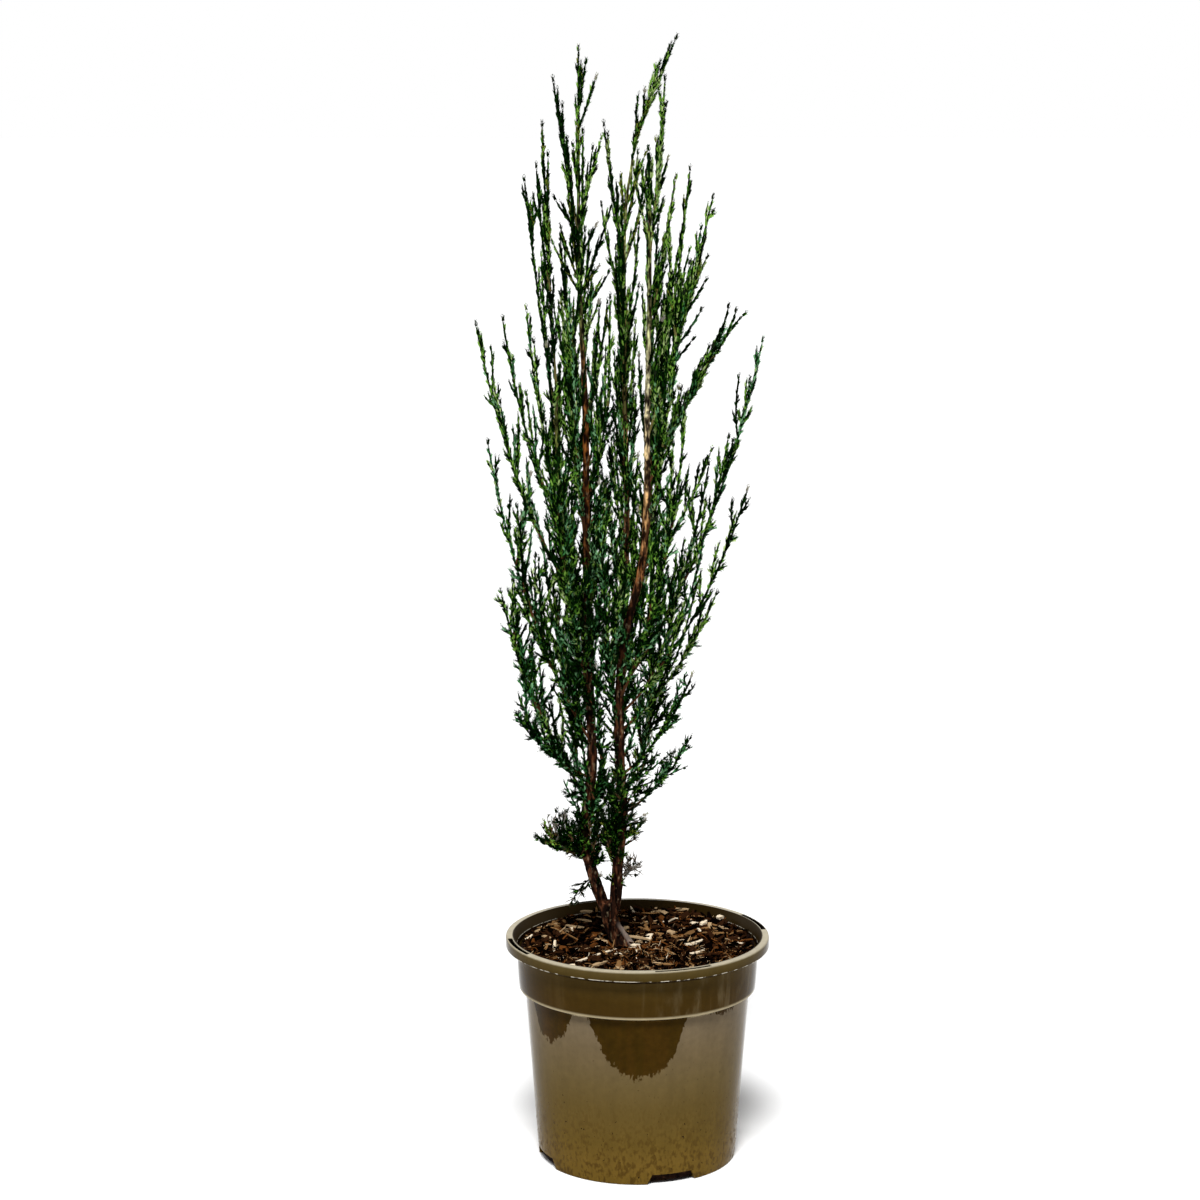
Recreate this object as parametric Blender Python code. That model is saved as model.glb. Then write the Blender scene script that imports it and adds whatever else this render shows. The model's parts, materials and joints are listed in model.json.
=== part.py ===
"""A young columnar juniper on three upright stems, standing in a round plastic nursery pot.

Metres, +Z up. The origin is the centre of the pot's flat underside, and the front of the plant
faces -Y. Every limb is a tapering tube along a smooth curve. Every foliage mass is an uneven
spindle along the line of the shoots that it stands for, cut back from its neighbours.
"""

import math
import random
from collections import namedtuple

import bmesh
import bpy
from mathutils import Vector

MM = 0.001

# Clearances
SEAT_GAP = 0.4 * MM
LIMB_GAP = 0.8 * MM
MASS_GAP = 3.4 * MM

# A limb's faces lie this share of its radius from its centre line.
LIMB_FLAT = 0.95
LEAVE_STEPS = 8

# Pot
POT_SEGMENTS = 48
POT_HEIGHT = 219.6 * MM
RIM_RADIUS = 127.5 * MM
RIM_WIDTH = 7.3 * MM
RIM_DEPTH = 9.6 * MM
BASE_RADIUS = 95.8 * MM
BODY_TOP_RADIUS = 108.3 * MM
COLLAR_LOW_RADIUS = 114.7 * MM
COLLAR_TOP_RADIUS = 117.0 * MM
COLLAR_FOOT = 169.0 * MM
WALL = 2.4 * MM
FLOOR = 2.8 * MM
EDGE_ROUND = 1.4 * MM
SLOT_FIRST_AZIMUTH = 20.0
SLOT_SPAN = 26.0
SLOT_INNER_RADIUS = 122.0 * MM
SLOT_OUTER_RADIUS = 125.6 * MM
SLOT_DEPTH = 7.0 * MM
NOTCH_LOW_SPAN = 30.0
NOTCH_TOP_SPAN = 24.0
NOTCH_HEIGHT = 10.0 * MM
NOTCH_INNER_RADIUS = 83.0 * MM
QUARTER_TURNS = (0.0, 90.0, 180.0, 270.0)

# Soil
SOIL_GAP = 0.5 * MM
SOIL_TOP = 209.0 * MM
SOIL_EDGE_TOP = 206.0 * MM
SOIL_FLAT_RADIUS = 36.0 * MM
SOIL_RELIEF = 1.4 * MM

# Trunk, from the soil up to the fork
TRUNK_SIDES = 12
TRUNK_FOOT = SOIL_TOP + SEAT_GAP
TRUNK_LINE = ((-16, 0, 209.4), (-20, 0, 219), (-25, 0, 231), (-27.4, 0, 250))
TRUNK_WIDTHS = (15.0, 10.6, 10.0, 12.0)
TRUNK_DEPTHS = (13.5, 10.0, 9.0, 8.0)

# Foliage masses
MASS_SIDES = 8
MASS_RINGS = 8
MASS_FOOT_RADIUS = 2.0 * MM
MASS_LEAST_RADIUS = 1.2 * MM
MASS_UNEVENNESS = 0.24
BOUGH_SIDES = 6
BOUGH_RINGS = 4
BOUGH_FOOT_RADIUS = 2.0 * MM
BOUGH_TIP_RADIUS = 1.2 * MM

# A stem passes through its waypoints, in millimetres, and tapers from foot to top.
Stem = namedtuple("Stem", "name parent waypoints foot_radius top_radius sides rings")
STEMS = (
    Stem(
        "stem_left",
        None,
        ((-33.4, 1, 250.4), (-44, 4, 282), (-51, 6, 318), (-44, 6, 386), (-46, 5, 462),
         (-49, 2, 600), (-50, 0, 733), (-56, 0, 860), (-56, 0, 950)),
        5.4, 1.5, 8, 15,
    ),
    Stem(
        "stem_right",
        None,
        ((-21.4, -1, 250.4), (-19, -4, 290), (-15, -6, 343), (-18, -6, 425), (-14, -6, 505),
         (3, -6, 580), (8, -6, 650), (8, -4, 720), (10, 0, 850), (10, 0, 915)),
        5.4, 1.5, 8, 15,
    ),
    Stem(
        "stem_middle",
        "stem_right",
        ((-15, -5, 478), (-15, 6, 505), (-11, 19, 580), (-11, 20, 660), (-13, 17, 750),
         (-13, 12, 900), (-6, 8, 962)),
        2.9, 1.3, 8, 12,
    ),
    Stem(
        "stem_left_branch",
        "stem_left",
        ((-47, 5, 470), (-57, 7, 545), (-68, 0, 605), (-74, -5, 655), (-77, -8, 710),
         (-77, -7, 750)),
        2.6, 1.5, 6, 8,
    ),
)

# A mass grows from a stem at a height and ends at its tip, all in millimetres.
# bough is the bare share of that way, which is a limb of its own, and 0 where foliage hides it.
Mass = namedtuple("Mass", "name stem height tip girth bough")
MASSES = (
    Mass("leader_left", "stem_left", 950, (-56, 0, 1067), 9, 0),
    Mass("left_top_outer", "stem_left", 892, (-80, 12, 1039), 8, 0),
    Mass("left_top_front", "stem_left", 838, (-66, -38, 985), 9, 0),
    Mass("left_top_back", "stem_left", 815, (-52, 48, 990), 10, 0),
    Mass("left_upper_inner", "stem_left_branch", 750, (-90, 8, 998), 11, 0),
    Mass("left_upper_outer", "stem_left_branch", 722, (-106, -22, 949), 10, 0),
    Mass("left_out_back", "stem_left_branch", 640, (-106, 34, 826), 10, 0),
    Mass("left_out_front", "stem_left_branch", 610, (-127, -16, 820), 11, 0),
    Mass("left_out_high", "stem_left_branch", 542, (-153, 8, 813), 15, 0.12),
    Mass("left_out_mid", "stem_left", 405, (-142, -12, 704), 17, 0.14),
    Mass("left_out_low", "stem_left", 352, (-131, 6, 559), 16, 0.16),
    Mass("left_low_outer", "stem_left", 372, (-117, -30, 447), 10, 0),
    Mass("left_skirt", "stem_left", 296, (-93, -6, 318), 13, 0.18),
    Mass("left_hanging_twig", "stem_left", 276, (-66, -2, 247), 4, 0),
    Mass("left_front_high", "stem_left", 600, (-64, -74, 850), 14, 0),
    Mass("left_front_mid", "stem_left", 455, (-80, -94, 690), 19, 0),
    Mass("left_back_high", "stem_left", 590, (-70, 82, 880), 14, 0),
    Mass("left_back_mid", "stem_left", 450, (-84, 104, 715), 19, 0),
    Mass("left_back_low", "stem_left", 345, (-80, 82, 545), 17, 0),
    Mass("inner_high", "stem_left", 640, (-26, -32, 760), 13, 0),
    Mass("inner_mid", "stem_right", 415, (-34, -50, 600), 17, 0),
    Mass("inner_low", "stem_left", 318, (-32, -22, 425), 13, 0),
    Mass("middle_left_shoot", "stem_middle", 862, (-33, 16, 998), 8, 0),
    Mass("middle_back", "stem_middle", 610, (-18, 90, 900), 14, 0),
    Mass("middle_front", "stem_middle", 720, (-16, -34, 930), 10, 0),
    Mass("leader_middle", "stem_middle", 962, (35, 0, 1077), 8, 0),
    Mass("leader_right", "stem_right", 915, (9, 0, 976), 6, 0),
    Mass("right_top_inner", "stem_right", 868, (24, -8, 1040), 8, 0),
    Mass("right_top_outer", "stem_right", 800, (35, 18, 949), 9, 0),
    Mass("right_upper_back", "stem_right", 735, (49, 40, 880), 11, 0),
    Mass("right_upper_outer", "stem_right", 700, (69, -10, 932), 11, 0),
    Mass("right_out_front", "stem_right", 655, (100, -22, 824), 12, 0),
    Mass("right_out_high", "stem_right", 460, (117, 6, 798), 16, 0.12),
    Mass("right_out_mid", "stem_right", 436, (103, -18, 661), 17, 0.12),
    Mass("right_mid_back", "stem_right", 575, (71, 40, 690), 15, 0),
    Mass("right_low_back", "stem_right", 420, (77, 40, 551), 15, 0),
    Mass("right_low_front", "stem_right", 376, (52, -20, 483), 14, 0.16),
    Mass("right_low_spray", "stem_right", 338, (52, 4, 417), 9, 0.18),
    Mass("right_skirt", "stem_right", 312, (8, -10, 338), 9, 0),
    Mass("right_grey_tuft", "stem_right", 274, (4, 4, 291), 6, 0),
    Mass("right_front_high", "stem_right", 600, (36, -72, 850), 14, 0),
    Mass("right_front_mid", "stem_right", 450, (36, -98, 680), 19, 0),
    Mass("right_back_high", "stem_right", 610, (32, 86, 878), 14, 0),
    Mass("right_back_mid", "stem_right", 455, (26, 110, 710), 19, 0),
    Mass("right_back_low", "stem_right", 350, (38, 84, 540), 17, 0),
)

# How far out and how far up a shoot's curve has come at its two inner control points
SHOOT_OUT = (0.42, 0.80)
SHOOT_UP = (0.22, 0.60)

COLORS = {
    "pot": ((0.16, 0.125, 0.068), 0.3),
    "soil": ((0.035, 0.02, 0.012), 0.95),
    "bark": ((0.12, 0.055, 0.03), 0.85),
    "foliage": ((0.03, 0.10, 0.03), 0.7),
    "dead": ((0.16, 0.15, 0.12), 0.85),
}


def clear_scene():
    for obj in list(bpy.data.objects):
        bpy.data.objects.remove(obj)


def material(name):
    color, roughness = COLORS[name]
    made = bpy.data.materials.get(name) or bpy.data.materials.new(name)
    made.use_nodes = True
    shader = made.node_tree.nodes["Principled BSDF"]
    shader.inputs["Base Color"].default_value = (*color, 1.0)
    shader.inputs["Roughness"].default_value = roughness
    shader.inputs["Metallic"].default_value = 0.0
    return made


def mesh_object(name, verts, faces, color, sharp_angle=50.0):
    mesh = bpy.data.meshes.new(name)
    mesh.from_pydata([tuple(vert) for vert in verts], [], faces)
    tidy = bmesh.new()
    tidy.from_mesh(mesh)
    bmesh.ops.recalc_face_normals(tidy, faces=tidy.faces)
    tidy.to_mesh(mesh)
    tidy.free()
    mesh.shade_smooth()
    mesh.set_sharp_from_angle(angle=math.radians(sharp_angle))
    obj = bpy.data.objects.new(name, mesh)
    obj.data.materials.append(material(color))
    bpy.context.scene.collection.objects.link(obj)
    return obj


def joined_rings(rings, foot_point=None, top_point=None):
    """Verts and faces of a closed skin over rings of equal count, capped flat or by a point."""
    count = len(rings[0])
    verts = [vert for ring in rings for vert in ring]
    faces = []
    for low in range(len(rings) - 1):
        for side in range(count):
            a = low * count + side
            b = low * count + (side + 1) % count
            faces.append((a, b, b + count, a + count))
    first = list(range(count))
    last = [(len(rings) - 1) * count + side for side in range(count)]
    for ends, point in ((first, foot_point), (last, top_point)):
        if point is None:
            faces.append(tuple(ends))
            continue
        verts.append(point)
        tip = len(verts) - 1
        faces.extend((ends[side], ends[(side + 1) % count], tip) for side in range(count))
    return verts, faces


def flat_ring(center, radius_x, radius_y, sides):
    turns = [math.tau * side / sides for side in range(sides)]
    return [center + Vector((radius_x * math.cos(a), radius_y * math.sin(a), 0.0)) for a in turns]


# Pot and soil


def turned(name, profile, color):
    """A body turned about Z from (radius, height) points that run from axis to axis."""
    rings = [flat_ring(Vector((0, 0, z)), r, r, POT_SEGMENTS) for r, z in profile if r > 0]
    foot = Vector((0, 0, profile[0][1]))
    top = Vector((0, 0, profile[-1][1]))
    verts, faces = joined_rings(rings, foot, top)
    return mesh_object(name, verts, faces, color, sharp_angle=35.0)


def inner_profile():
    """The pot's inner wall, from the floor up to the inside of the rim."""
    rim_inner = RIM_RADIUS - RIM_WIDTH
    return [
        (BASE_RADIUS - WALL, FLOOR),
        (BODY_TOP_RADIUS - WALL, COLLAR_FOOT - 2.0 * WALL),
        (COLLAR_LOW_RADIUS - WALL, COLLAR_FOOT + 0.5 * WALL),
        (COLLAR_TOP_RADIUS - WALL, POT_HEIGHT - RIM_DEPTH),
        (rim_inner - EDGE_ROUND, POT_HEIGHT - 2.0 * EDGE_ROUND),
        (rim_inner, POT_HEIGHT - 0.4 * EDGE_ROUND),
    ]


def arc_cutter(name, radii, heights, azimuth, spans):
    """A block bent round the pot's axis. spans are its angles at its low and high faces."""
    steps = 7
    rings = []
    for step in range(steps + 1):
        share = step / steps - 0.5
        ring = []
        for radius, level in ((0, 0), (1, 0), (1, 1), (0, 1)):
            angle = math.radians(azimuth + share * spans[level])
            out = radii[radius]
            ring.append(Vector((out * math.cos(angle), out * math.sin(angle), heights[level])))
        rings.append(ring)
    cutter = mesh_object(name, *joined_rings(rings), "pot")
    cutter.hide_render = True
    cutter.display_type = "WIRE"
    return cutter


def cut(obj, cutter):
    modifier = obj.modifiers.new(cutter.name, "BOOLEAN")
    modifier.operation = "DIFFERENCE"
    modifier.solver = "EXACT"
    modifier.object = cutter


def make_pot():
    rim_foot = POT_HEIGHT - RIM_DEPTH
    rim_inner = RIM_RADIUS - RIM_WIDTH
    outer = [
        (0, 0),
        (BASE_RADIUS - EDGE_ROUND, 0),
        (BASE_RADIUS, EDGE_ROUND),
        (BODY_TOP_RADIUS, COLLAR_FOOT - WALL),
        (COLLAR_LOW_RADIUS, COLLAR_FOOT),
        (COLLAR_TOP_RADIUS, rim_foot - EDGE_ROUND),
        (COLLAR_TOP_RADIUS + EDGE_ROUND, rim_foot),
        (RIM_RADIUS - 0.4 * EDGE_ROUND, rim_foot),
        (RIM_RADIUS, rim_foot + EDGE_ROUND),
        (RIM_RADIUS, POT_HEIGHT - EDGE_ROUND),
        (RIM_RADIUS - EDGE_ROUND, POT_HEIGHT),
        (rim_inner + 0.6 * EDGE_ROUND, POT_HEIGHT),
    ]
    pot = turned("pot", outer + inner_profile()[::-1] + [(0, FLOOR)], "pot")
    for turn in QUARTER_TURNS:
        azimuth = SLOT_FIRST_AZIMUTH + turn
        slot = arc_cutter(
            f"slot_cutter_{turn:.0f}",
            (SLOT_INNER_RADIUS, SLOT_OUTER_RADIUS),
            (POT_HEIGHT - SLOT_DEPTH, POT_HEIGHT + SLOT_DEPTH),
            azimuth,
            (SLOT_SPAN, SLOT_SPAN),
        )
        cut(pot, slot)
        notch = arc_cutter(
            f"notch_cutter_{turn:.0f}",
            (NOTCH_INNER_RADIUS, BASE_RADIUS + WALL),
            (-WALL, NOTCH_HEIGHT),
            azimuth,
            (NOTCH_LOW_SPAN, NOTCH_TOP_SPAN),
        )
        cut(pot, notch)


def make_soil():
    """The root ball that fills the pot, with an uneven top and a flat place for the trunk."""
    dice = random.Random(5)
    wall = inner_profile()[:4]
    rings = []
    for radius, height in wall[:3]:
        inside = radius - SOIL_GAP
        rings.append(flat_ring(Vector((0, 0, height + SOIL_GAP)), inside, inside, POT_SEGMENTS))
    low_r, low_z = wall[2]
    high_r, high_z = wall[3]
    share = (SOIL_EDGE_TOP - low_z) / (high_z - low_z)
    edge = low_r + (high_r - low_r) * share - SOIL_GAP
    rings.append(flat_ring(Vector((0, 0, SOIL_EDGE_TOP)), edge, edge, POT_SEGMENTS))
    for radius in (0.62 * edge, SOIL_FLAT_RADIUS):
        inward = (edge - radius) / (edge - SOIL_FLAT_RADIUS)
        level = SOIL_EDGE_TOP + (SOIL_TOP - SOIL_EDGE_TOP) * inward
        relief = SOIL_RELIEF if radius > SOIL_FLAT_RADIUS else 0.0
        ring = flat_ring(Vector((0, 0, level)), radius, radius, POT_SEGMENTS)
        for vert in ring:
            vert.z += dice.uniform(-relief, relief)
        rings.append(ring)
    mesh_object("soil", *joined_rings(rings), "soil")


# Curves


def catmull_rom(points, steps):
    """Even steps along a smooth curve through the points."""
    ends = [2 * points[0] - points[1], *points, 2 * points[-1] - points[-2]]
    curve = []
    for step in range(steps + 1):
        place = step / steps * (len(points) - 1)
        first = min(int(place), len(points) - 2)
        t = place - first
        a, b, c, d = ends[first : first + 4]
        curve.append(
            0.5 * (2 * b + (c - a) * t + (2 * a - 5 * b + 4 * c - d) * t**2)
            + 0.5 * (3 * b - a - 3 * c + d) * t**3
        )
    return curve


def spread_evenly(line, count):
    """count points at equal lengths along a polyline."""
    lengths = [0.0]
    for a, b in zip(line, line[1:]):
        lengths.append(lengths[-1] + (b - a).length)
    placed = []
    part = 0
    for step in range(count):
        target = lengths[-1] * step / (count - 1)
        while part < len(line) - 2 and lengths[part + 1] < target:
            part += 1
        span = max(lengths[part + 1] - lengths[part], 1e-9)
        placed.append(line[part].lerp(line[part + 1], (target - lengths[part]) / span))
    return placed


def nearest(line, point):
    """The point of a polyline nearest to a point, and its share of the way along."""
    best = (math.inf, line[0], 0.0)
    for part in range(len(line) - 1):
        a, b = line[part], line[part + 1]
        along = b - a
        share = max(0.0, min(1.0, (point - a).dot(along) / max(along.length_squared, 1e-12)))
        spot = a + along * share
        gap = (point - spot).length
        if gap < best[0]:
            best = (gap, spot, (part + share) / (len(line) - 1))
    return best[1], best[2]


# A limb's radius runs evenly from its foot to its top.
Limb = namedtuple("Limb", "line foot_radius top_radius")


def radius_at(limb, share):
    return limb.foot_radius + (limb.top_radius - limb.foot_radius) * share


def point_at_height(limb, height):
    """The limb's centre where it passes a height, or its end if it never does."""
    for a, b in zip(limb.line, limb.line[1:]):
        if a.z <= height <= b.z:
            return a.lerp(b, (height - a.z) / max(b.z - a.z, 1e-9))
    return limb.line[-1]


def leave_limb(limb, line, radius):
    """The line without its start, so that a flat end of this radius just clears the limb."""
    for index in range(1, len(line)):
        heading = (line[index] - line[index - 1]).normalized()
        for step in range(1, LEAVE_STEPS + 1):
            point = line[index - 1].lerp(line[index], step / LEAVE_STEPS)
            spot, share = nearest(limb.line, point)
            away = point - spot
            if away.length < 1e-6:
                continue
            lean = math.sqrt(max(0.0, 1.0 - heading.dot(away.normalized()) ** 2))
            flat = radius_at(limb, share) * LIMB_FLAT
            if away.length >= flat + SEAT_GAP + radius * lean:
                return [point, *line[index + 1 :]]
    return line[-2:]


def shoot_line(start, tip, steps=160):
    """A shoot's curve, which goes out first and then turns up."""
    across = Vector((tip.x - start.x, tip.y - start.y, 0.0))
    rise = Vector((0.0, 0.0, tip.z - start.z))
    inner = [start + across * out + rise * up for out, up in zip(SHOOT_OUT, SHOOT_UP)]
    line = []
    for step in range(steps + 1):
        t = step / steps
        line.append(
            start * (1 - t) ** 3
            + inner[0] * 3 * t * (1 - t) ** 2
            + inner[1] * 3 * t**2 * (1 - t)
            + tip * t**3
        )
    return line


def turning_frames(points):
    """A pair of cross directions at each point, carried along with the least twist."""
    frames = []
    across = None
    for index, point in enumerate(points):
        before = points[max(index - 1, 0)]
        after = points[min(index + 1, len(points) - 1)]
        heading = (after - before).normalized()
        if across is None:
            guide = Vector((0, 1, 0)) if abs(heading.y) < 0.8 else Vector((1, 0, 0))
            across = heading.cross(guide).normalized()
        across = (across - heading * across.dot(heading)).normalized()
        frames.append((across.copy(), heading.cross(across)))
    return frames


# Trunk, stems and boughs


def make_trunk():
    centers = [Vector(point) * MM for point in TRUNK_LINE]
    line = catmull_rom(centers, 6)
    widths = catmull_rom([Vector((w, d, 0)) * MM for w, d in zip(TRUNK_WIDTHS, TRUNK_DEPTHS)], 6)
    rings = [flat_ring(c, w.x, w.y, TRUNK_SIDES) for c, w in zip(line, widths)]
    for vert in rings[0]:
        vert.z = TRUNK_FOOT
    mesh_object("trunk", *joined_rings(rings), "bark")
    return Limb(line, max(TRUNK_WIDTHS) * MM, max(TRUNK_WIDTHS) * MM)


def make_tube(name, limb, sides, level_rings):
    frames = turning_frames(limb.line)
    skin = []
    for index, (center, (u, v)) in enumerate(zip(limb.line, frames)):
        radius = radius_at(limb, index / (len(limb.line) - 1))
        if level_rings:
            skin.append(flat_ring(center, radius, radius, sides))
            continue
        turns = [math.tau * side / sides for side in range(sides)]
        skin.append([center + (u * math.cos(a) + v * math.sin(a)) * radius for a in turns])
    mesh_object(name, *joined_rings(skin), "bark")


def make_stem(stem, limbs):
    line = catmull_rom([Vector(point) * MM for point in stem.waypoints], 160)
    foot_radius = stem.foot_radius * MM
    if stem.parent:
        line = leave_limb(limbs[stem.parent], line, foot_radius)
    limb = Limb(spread_evenly(line, stem.rings), foot_radius, stem.top_radius * MM)
    make_tube(stem.name, limb, stem.sides, level_rings=not stem.parent)
    return limb


def mass_line(mass, limbs):
    """The mass's own line, and the bough that carries it or None."""
    stem = limbs[mass.stem]
    start = point_at_height(stem, mass.height * MM)
    line = shoot_line(start, Vector(mass.tip) * MM)
    if stem.line[-1].z - start.z < LIMB_GAP:
        gap = Vector((0.0, 0.0, 2.0 * SEAT_GAP))
        return [point + gap for point in line[:-1]] + [line[-1]], None
    if not mass.bough:
        return leave_limb(stem, line, MASS_FOOT_RADIUS), None
    bare = leave_limb(stem, line, BOUGH_FOOT_RADIUS)
    split = max(2, int(len(line) * mass.bough))
    bough_line = [bare[0]] + [point for point in bare[1:] if point in line[: split + 1]]
    heading = (line[split + 1] - line[split]).normalized()
    first = line[split] + heading * SEAT_GAP
    bough = Limb(spread_evenly(bough_line, BOUGH_RINGS), BOUGH_FOOT_RADIUS, BOUGH_TIP_RADIUS)
    return [first, *line[split + 2 :]], bough


# Foliage masses


def belly(share):
    """A mass's girth along its way: a quick swell, a long body and a drawn-out tip."""
    return math.sin(math.pi * share**0.72) ** 0.75


def walls_round(center, own, limbs, lines):
    """(direction, distance) of each plane that a mass's ring at center has to stay behind."""
    walls = []
    for limb in limbs:
        spot, share = nearest(limb.line, center)
        away = spot - center
        walls.append((away.normalized(), away.length - radius_at(limb, share) - LIMB_GAP))
    for name, line in lines.items():
        if name != own:
            away = nearest(line, center)[0] - center
            walls.append((away.normalized(), 0.5 * (away.length - MASS_GAP)))
    return walls


def make_mass(mass, lines, limbs):
    """An uneven spindle along its line, held back from every limb and neighbour."""
    dice = random.Random(mass.name)
    phases = [dice.uniform(0, math.tau) for _ in range(3)]
    points = spread_evenly(lines[mass.name], MASS_RINGS + 1)
    frames = turning_frames(points)
    coarse = {name: spread_evenly(line, 24) for name, line in lines.items()}
    rings = []
    for index in range(MASS_RINGS):
        share = index / MASS_RINGS
        center = points[index]
        u, v = frames[index]
        walls = walls_round(center, mass.name, limbs if index else [], coarse)
        ring = []
        for side in range(MASS_SIDES):
            angle = math.tau * side / MASS_SIDES
            heading = u * math.cos(angle) + v * math.sin(angle)
            wave = math.sin(2 * angle + 7 * share + phases[0]) + math.sin(3 * angle + phases[1])
            lump = 1 + MASS_UNEVENNESS * (0.5 * wave + 0.5 * math.sin(19 * share + phases[2]))
            radius = max(MASS_FOOT_RADIUS, mass.girth * MM * belly(share) * lump)
            if index == 0:
                radius = MASS_FOOT_RADIUS
            for direction, distance in walls:
                facing = heading.dot(direction)
                if facing > 0.05:
                    radius = min(radius, max(distance, 0.0) / facing)
            ring.append(center + heading * max(radius, MASS_LEAST_RADIUS))
        rings.append(ring)
    verts, faces = joined_rings(rings, None, points[-1])
    color = "dead" if "grey" in mass.name else "foliage"
    mesh_object(f"mass_{mass.name}", verts, faces, color)


def main():
    clear_scene()
    make_pot()
    make_soil()
    limbs = {"trunk": make_trunk()}
    for stem in STEMS:
        limbs[stem.name] = make_stem(stem, limbs)
    lines = {}
    boughs = {}
    for mass in MASSES:
        lines[mass.name], bough = mass_line(mass, limbs)
        if bough:
            boughs[f"bough_{mass.name}"] = bough
    for name, bough in boughs.items():
        make_tube(name, bough, BOUGH_SIDES, level_rings=False)
    all_limbs = [*limbs.values(), *boughs.values()]
    for mass in MASSES:
        make_mass(mass, lines, all_limbs)


main()
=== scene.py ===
"""Looks of a young columnar juniper on three upright stems in a round plastic nursery pot.

Metres, +Z up, front towards -Y, as in the construction. Sizes in tables are millimetres.
"""

import json
import math
from collections import namedtuple

import bpy
import numpy as np
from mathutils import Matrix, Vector, noise

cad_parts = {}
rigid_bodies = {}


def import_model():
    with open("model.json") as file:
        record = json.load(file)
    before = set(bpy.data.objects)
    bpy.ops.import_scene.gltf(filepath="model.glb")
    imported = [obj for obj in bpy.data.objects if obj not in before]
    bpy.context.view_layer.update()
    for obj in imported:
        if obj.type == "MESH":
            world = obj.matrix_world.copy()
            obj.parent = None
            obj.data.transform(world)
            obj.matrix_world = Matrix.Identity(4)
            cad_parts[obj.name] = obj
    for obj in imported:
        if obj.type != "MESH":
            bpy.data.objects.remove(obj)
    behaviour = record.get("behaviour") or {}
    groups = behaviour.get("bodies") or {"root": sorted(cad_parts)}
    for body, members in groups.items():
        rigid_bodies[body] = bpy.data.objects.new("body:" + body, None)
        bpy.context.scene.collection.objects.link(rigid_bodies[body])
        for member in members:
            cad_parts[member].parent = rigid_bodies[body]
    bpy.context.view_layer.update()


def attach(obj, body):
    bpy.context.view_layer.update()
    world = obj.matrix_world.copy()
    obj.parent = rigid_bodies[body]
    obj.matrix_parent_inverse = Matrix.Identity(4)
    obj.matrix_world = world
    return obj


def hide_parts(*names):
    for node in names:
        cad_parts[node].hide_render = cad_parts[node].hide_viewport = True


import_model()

MM = 0.001

# Camera: a normal lens far enough back that the pot's rim shows its true ellipse
CAMERA_PLACE = (-0.0362, -2.905, 1.076)
CAMERA_PITCH = 10.3
CAMERA_LENS = 93.3

# Light: a pale room, a soft sun from the upper right, and a tall soft box at each side
SUN_FROM = (-0.07, -0.80, 1.20)
SUN_STRENGTH = 5.0
SUN_ANGLE = 18.0
ROOM_STRENGTH = 0.18
STRIPS = (
    ("strip_left", (-2.2, 1.1, 0.8), (0.4, 2.4), 20.0),
    ("strip_right", (2.2, 0.5, 0.8), (0.4, 2.4), 18.0),
)

# Stems and masses, as in the construction
Stem = namedtuple("Stem", "name parent waypoints foot_radius top_radius")
STEMS = (
    Stem(
        "stem_left",
        None,
        ((-29, 0, 240), (-33.4, 1, 250.4), (-44, 4, 282), (-51, 6, 318), (-44, 6, 386),
         (-46, 5, 462), (-49, 2, 600), (-50, 0, 733), (-56, 0, 860), (-56, 0, 950)),
        5.4, 1.5,
    ),
    Stem(
        "stem_right",
        None,
        ((-24, -1, 240), (-21.4, -1, 250.4), (-19, -4, 290), (-15, -6, 343), (-18, -6, 425),
         (-14, -6, 505), (3, -6, 580), (8, -6, 650), (8, -4, 720), (10, 0, 850), (10, 0, 915)),
        5.4, 1.5,
    ),
    Stem(
        "stem_middle",
        "stem_right",
        ((-15, -5, 478), (-15, 6, 505), (-11, 19, 580), (-11, 20, 660), (-13, 17, 750),
         (-13, 12, 900), (-6, 8, 962)),
        2.9, 1.3,
    ),
    Stem(
        "stem_left_branch",
        "stem_left",
        ((-47, 5, 470), (-57, 7, 545), (-68, 0, 605), (-74, -5, 655), (-77, -8, 710),
         (-77, -7, 750)),
        2.6, 1.5,
    ),
)
TRUNK_LINE = ((-11, 0, 203), (-15.5, 0, 211), (-22, 0, 223), (-27.5, 0, 238), (-28.6, 0, 252))
TRUNK_WIDTHS = (11.5, 9.4, 8.0, 7.5, 7.2)
FORK_TOP = 300
FORK_RADII = (5.0, 5.9, 5.6, 5.2)

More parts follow.
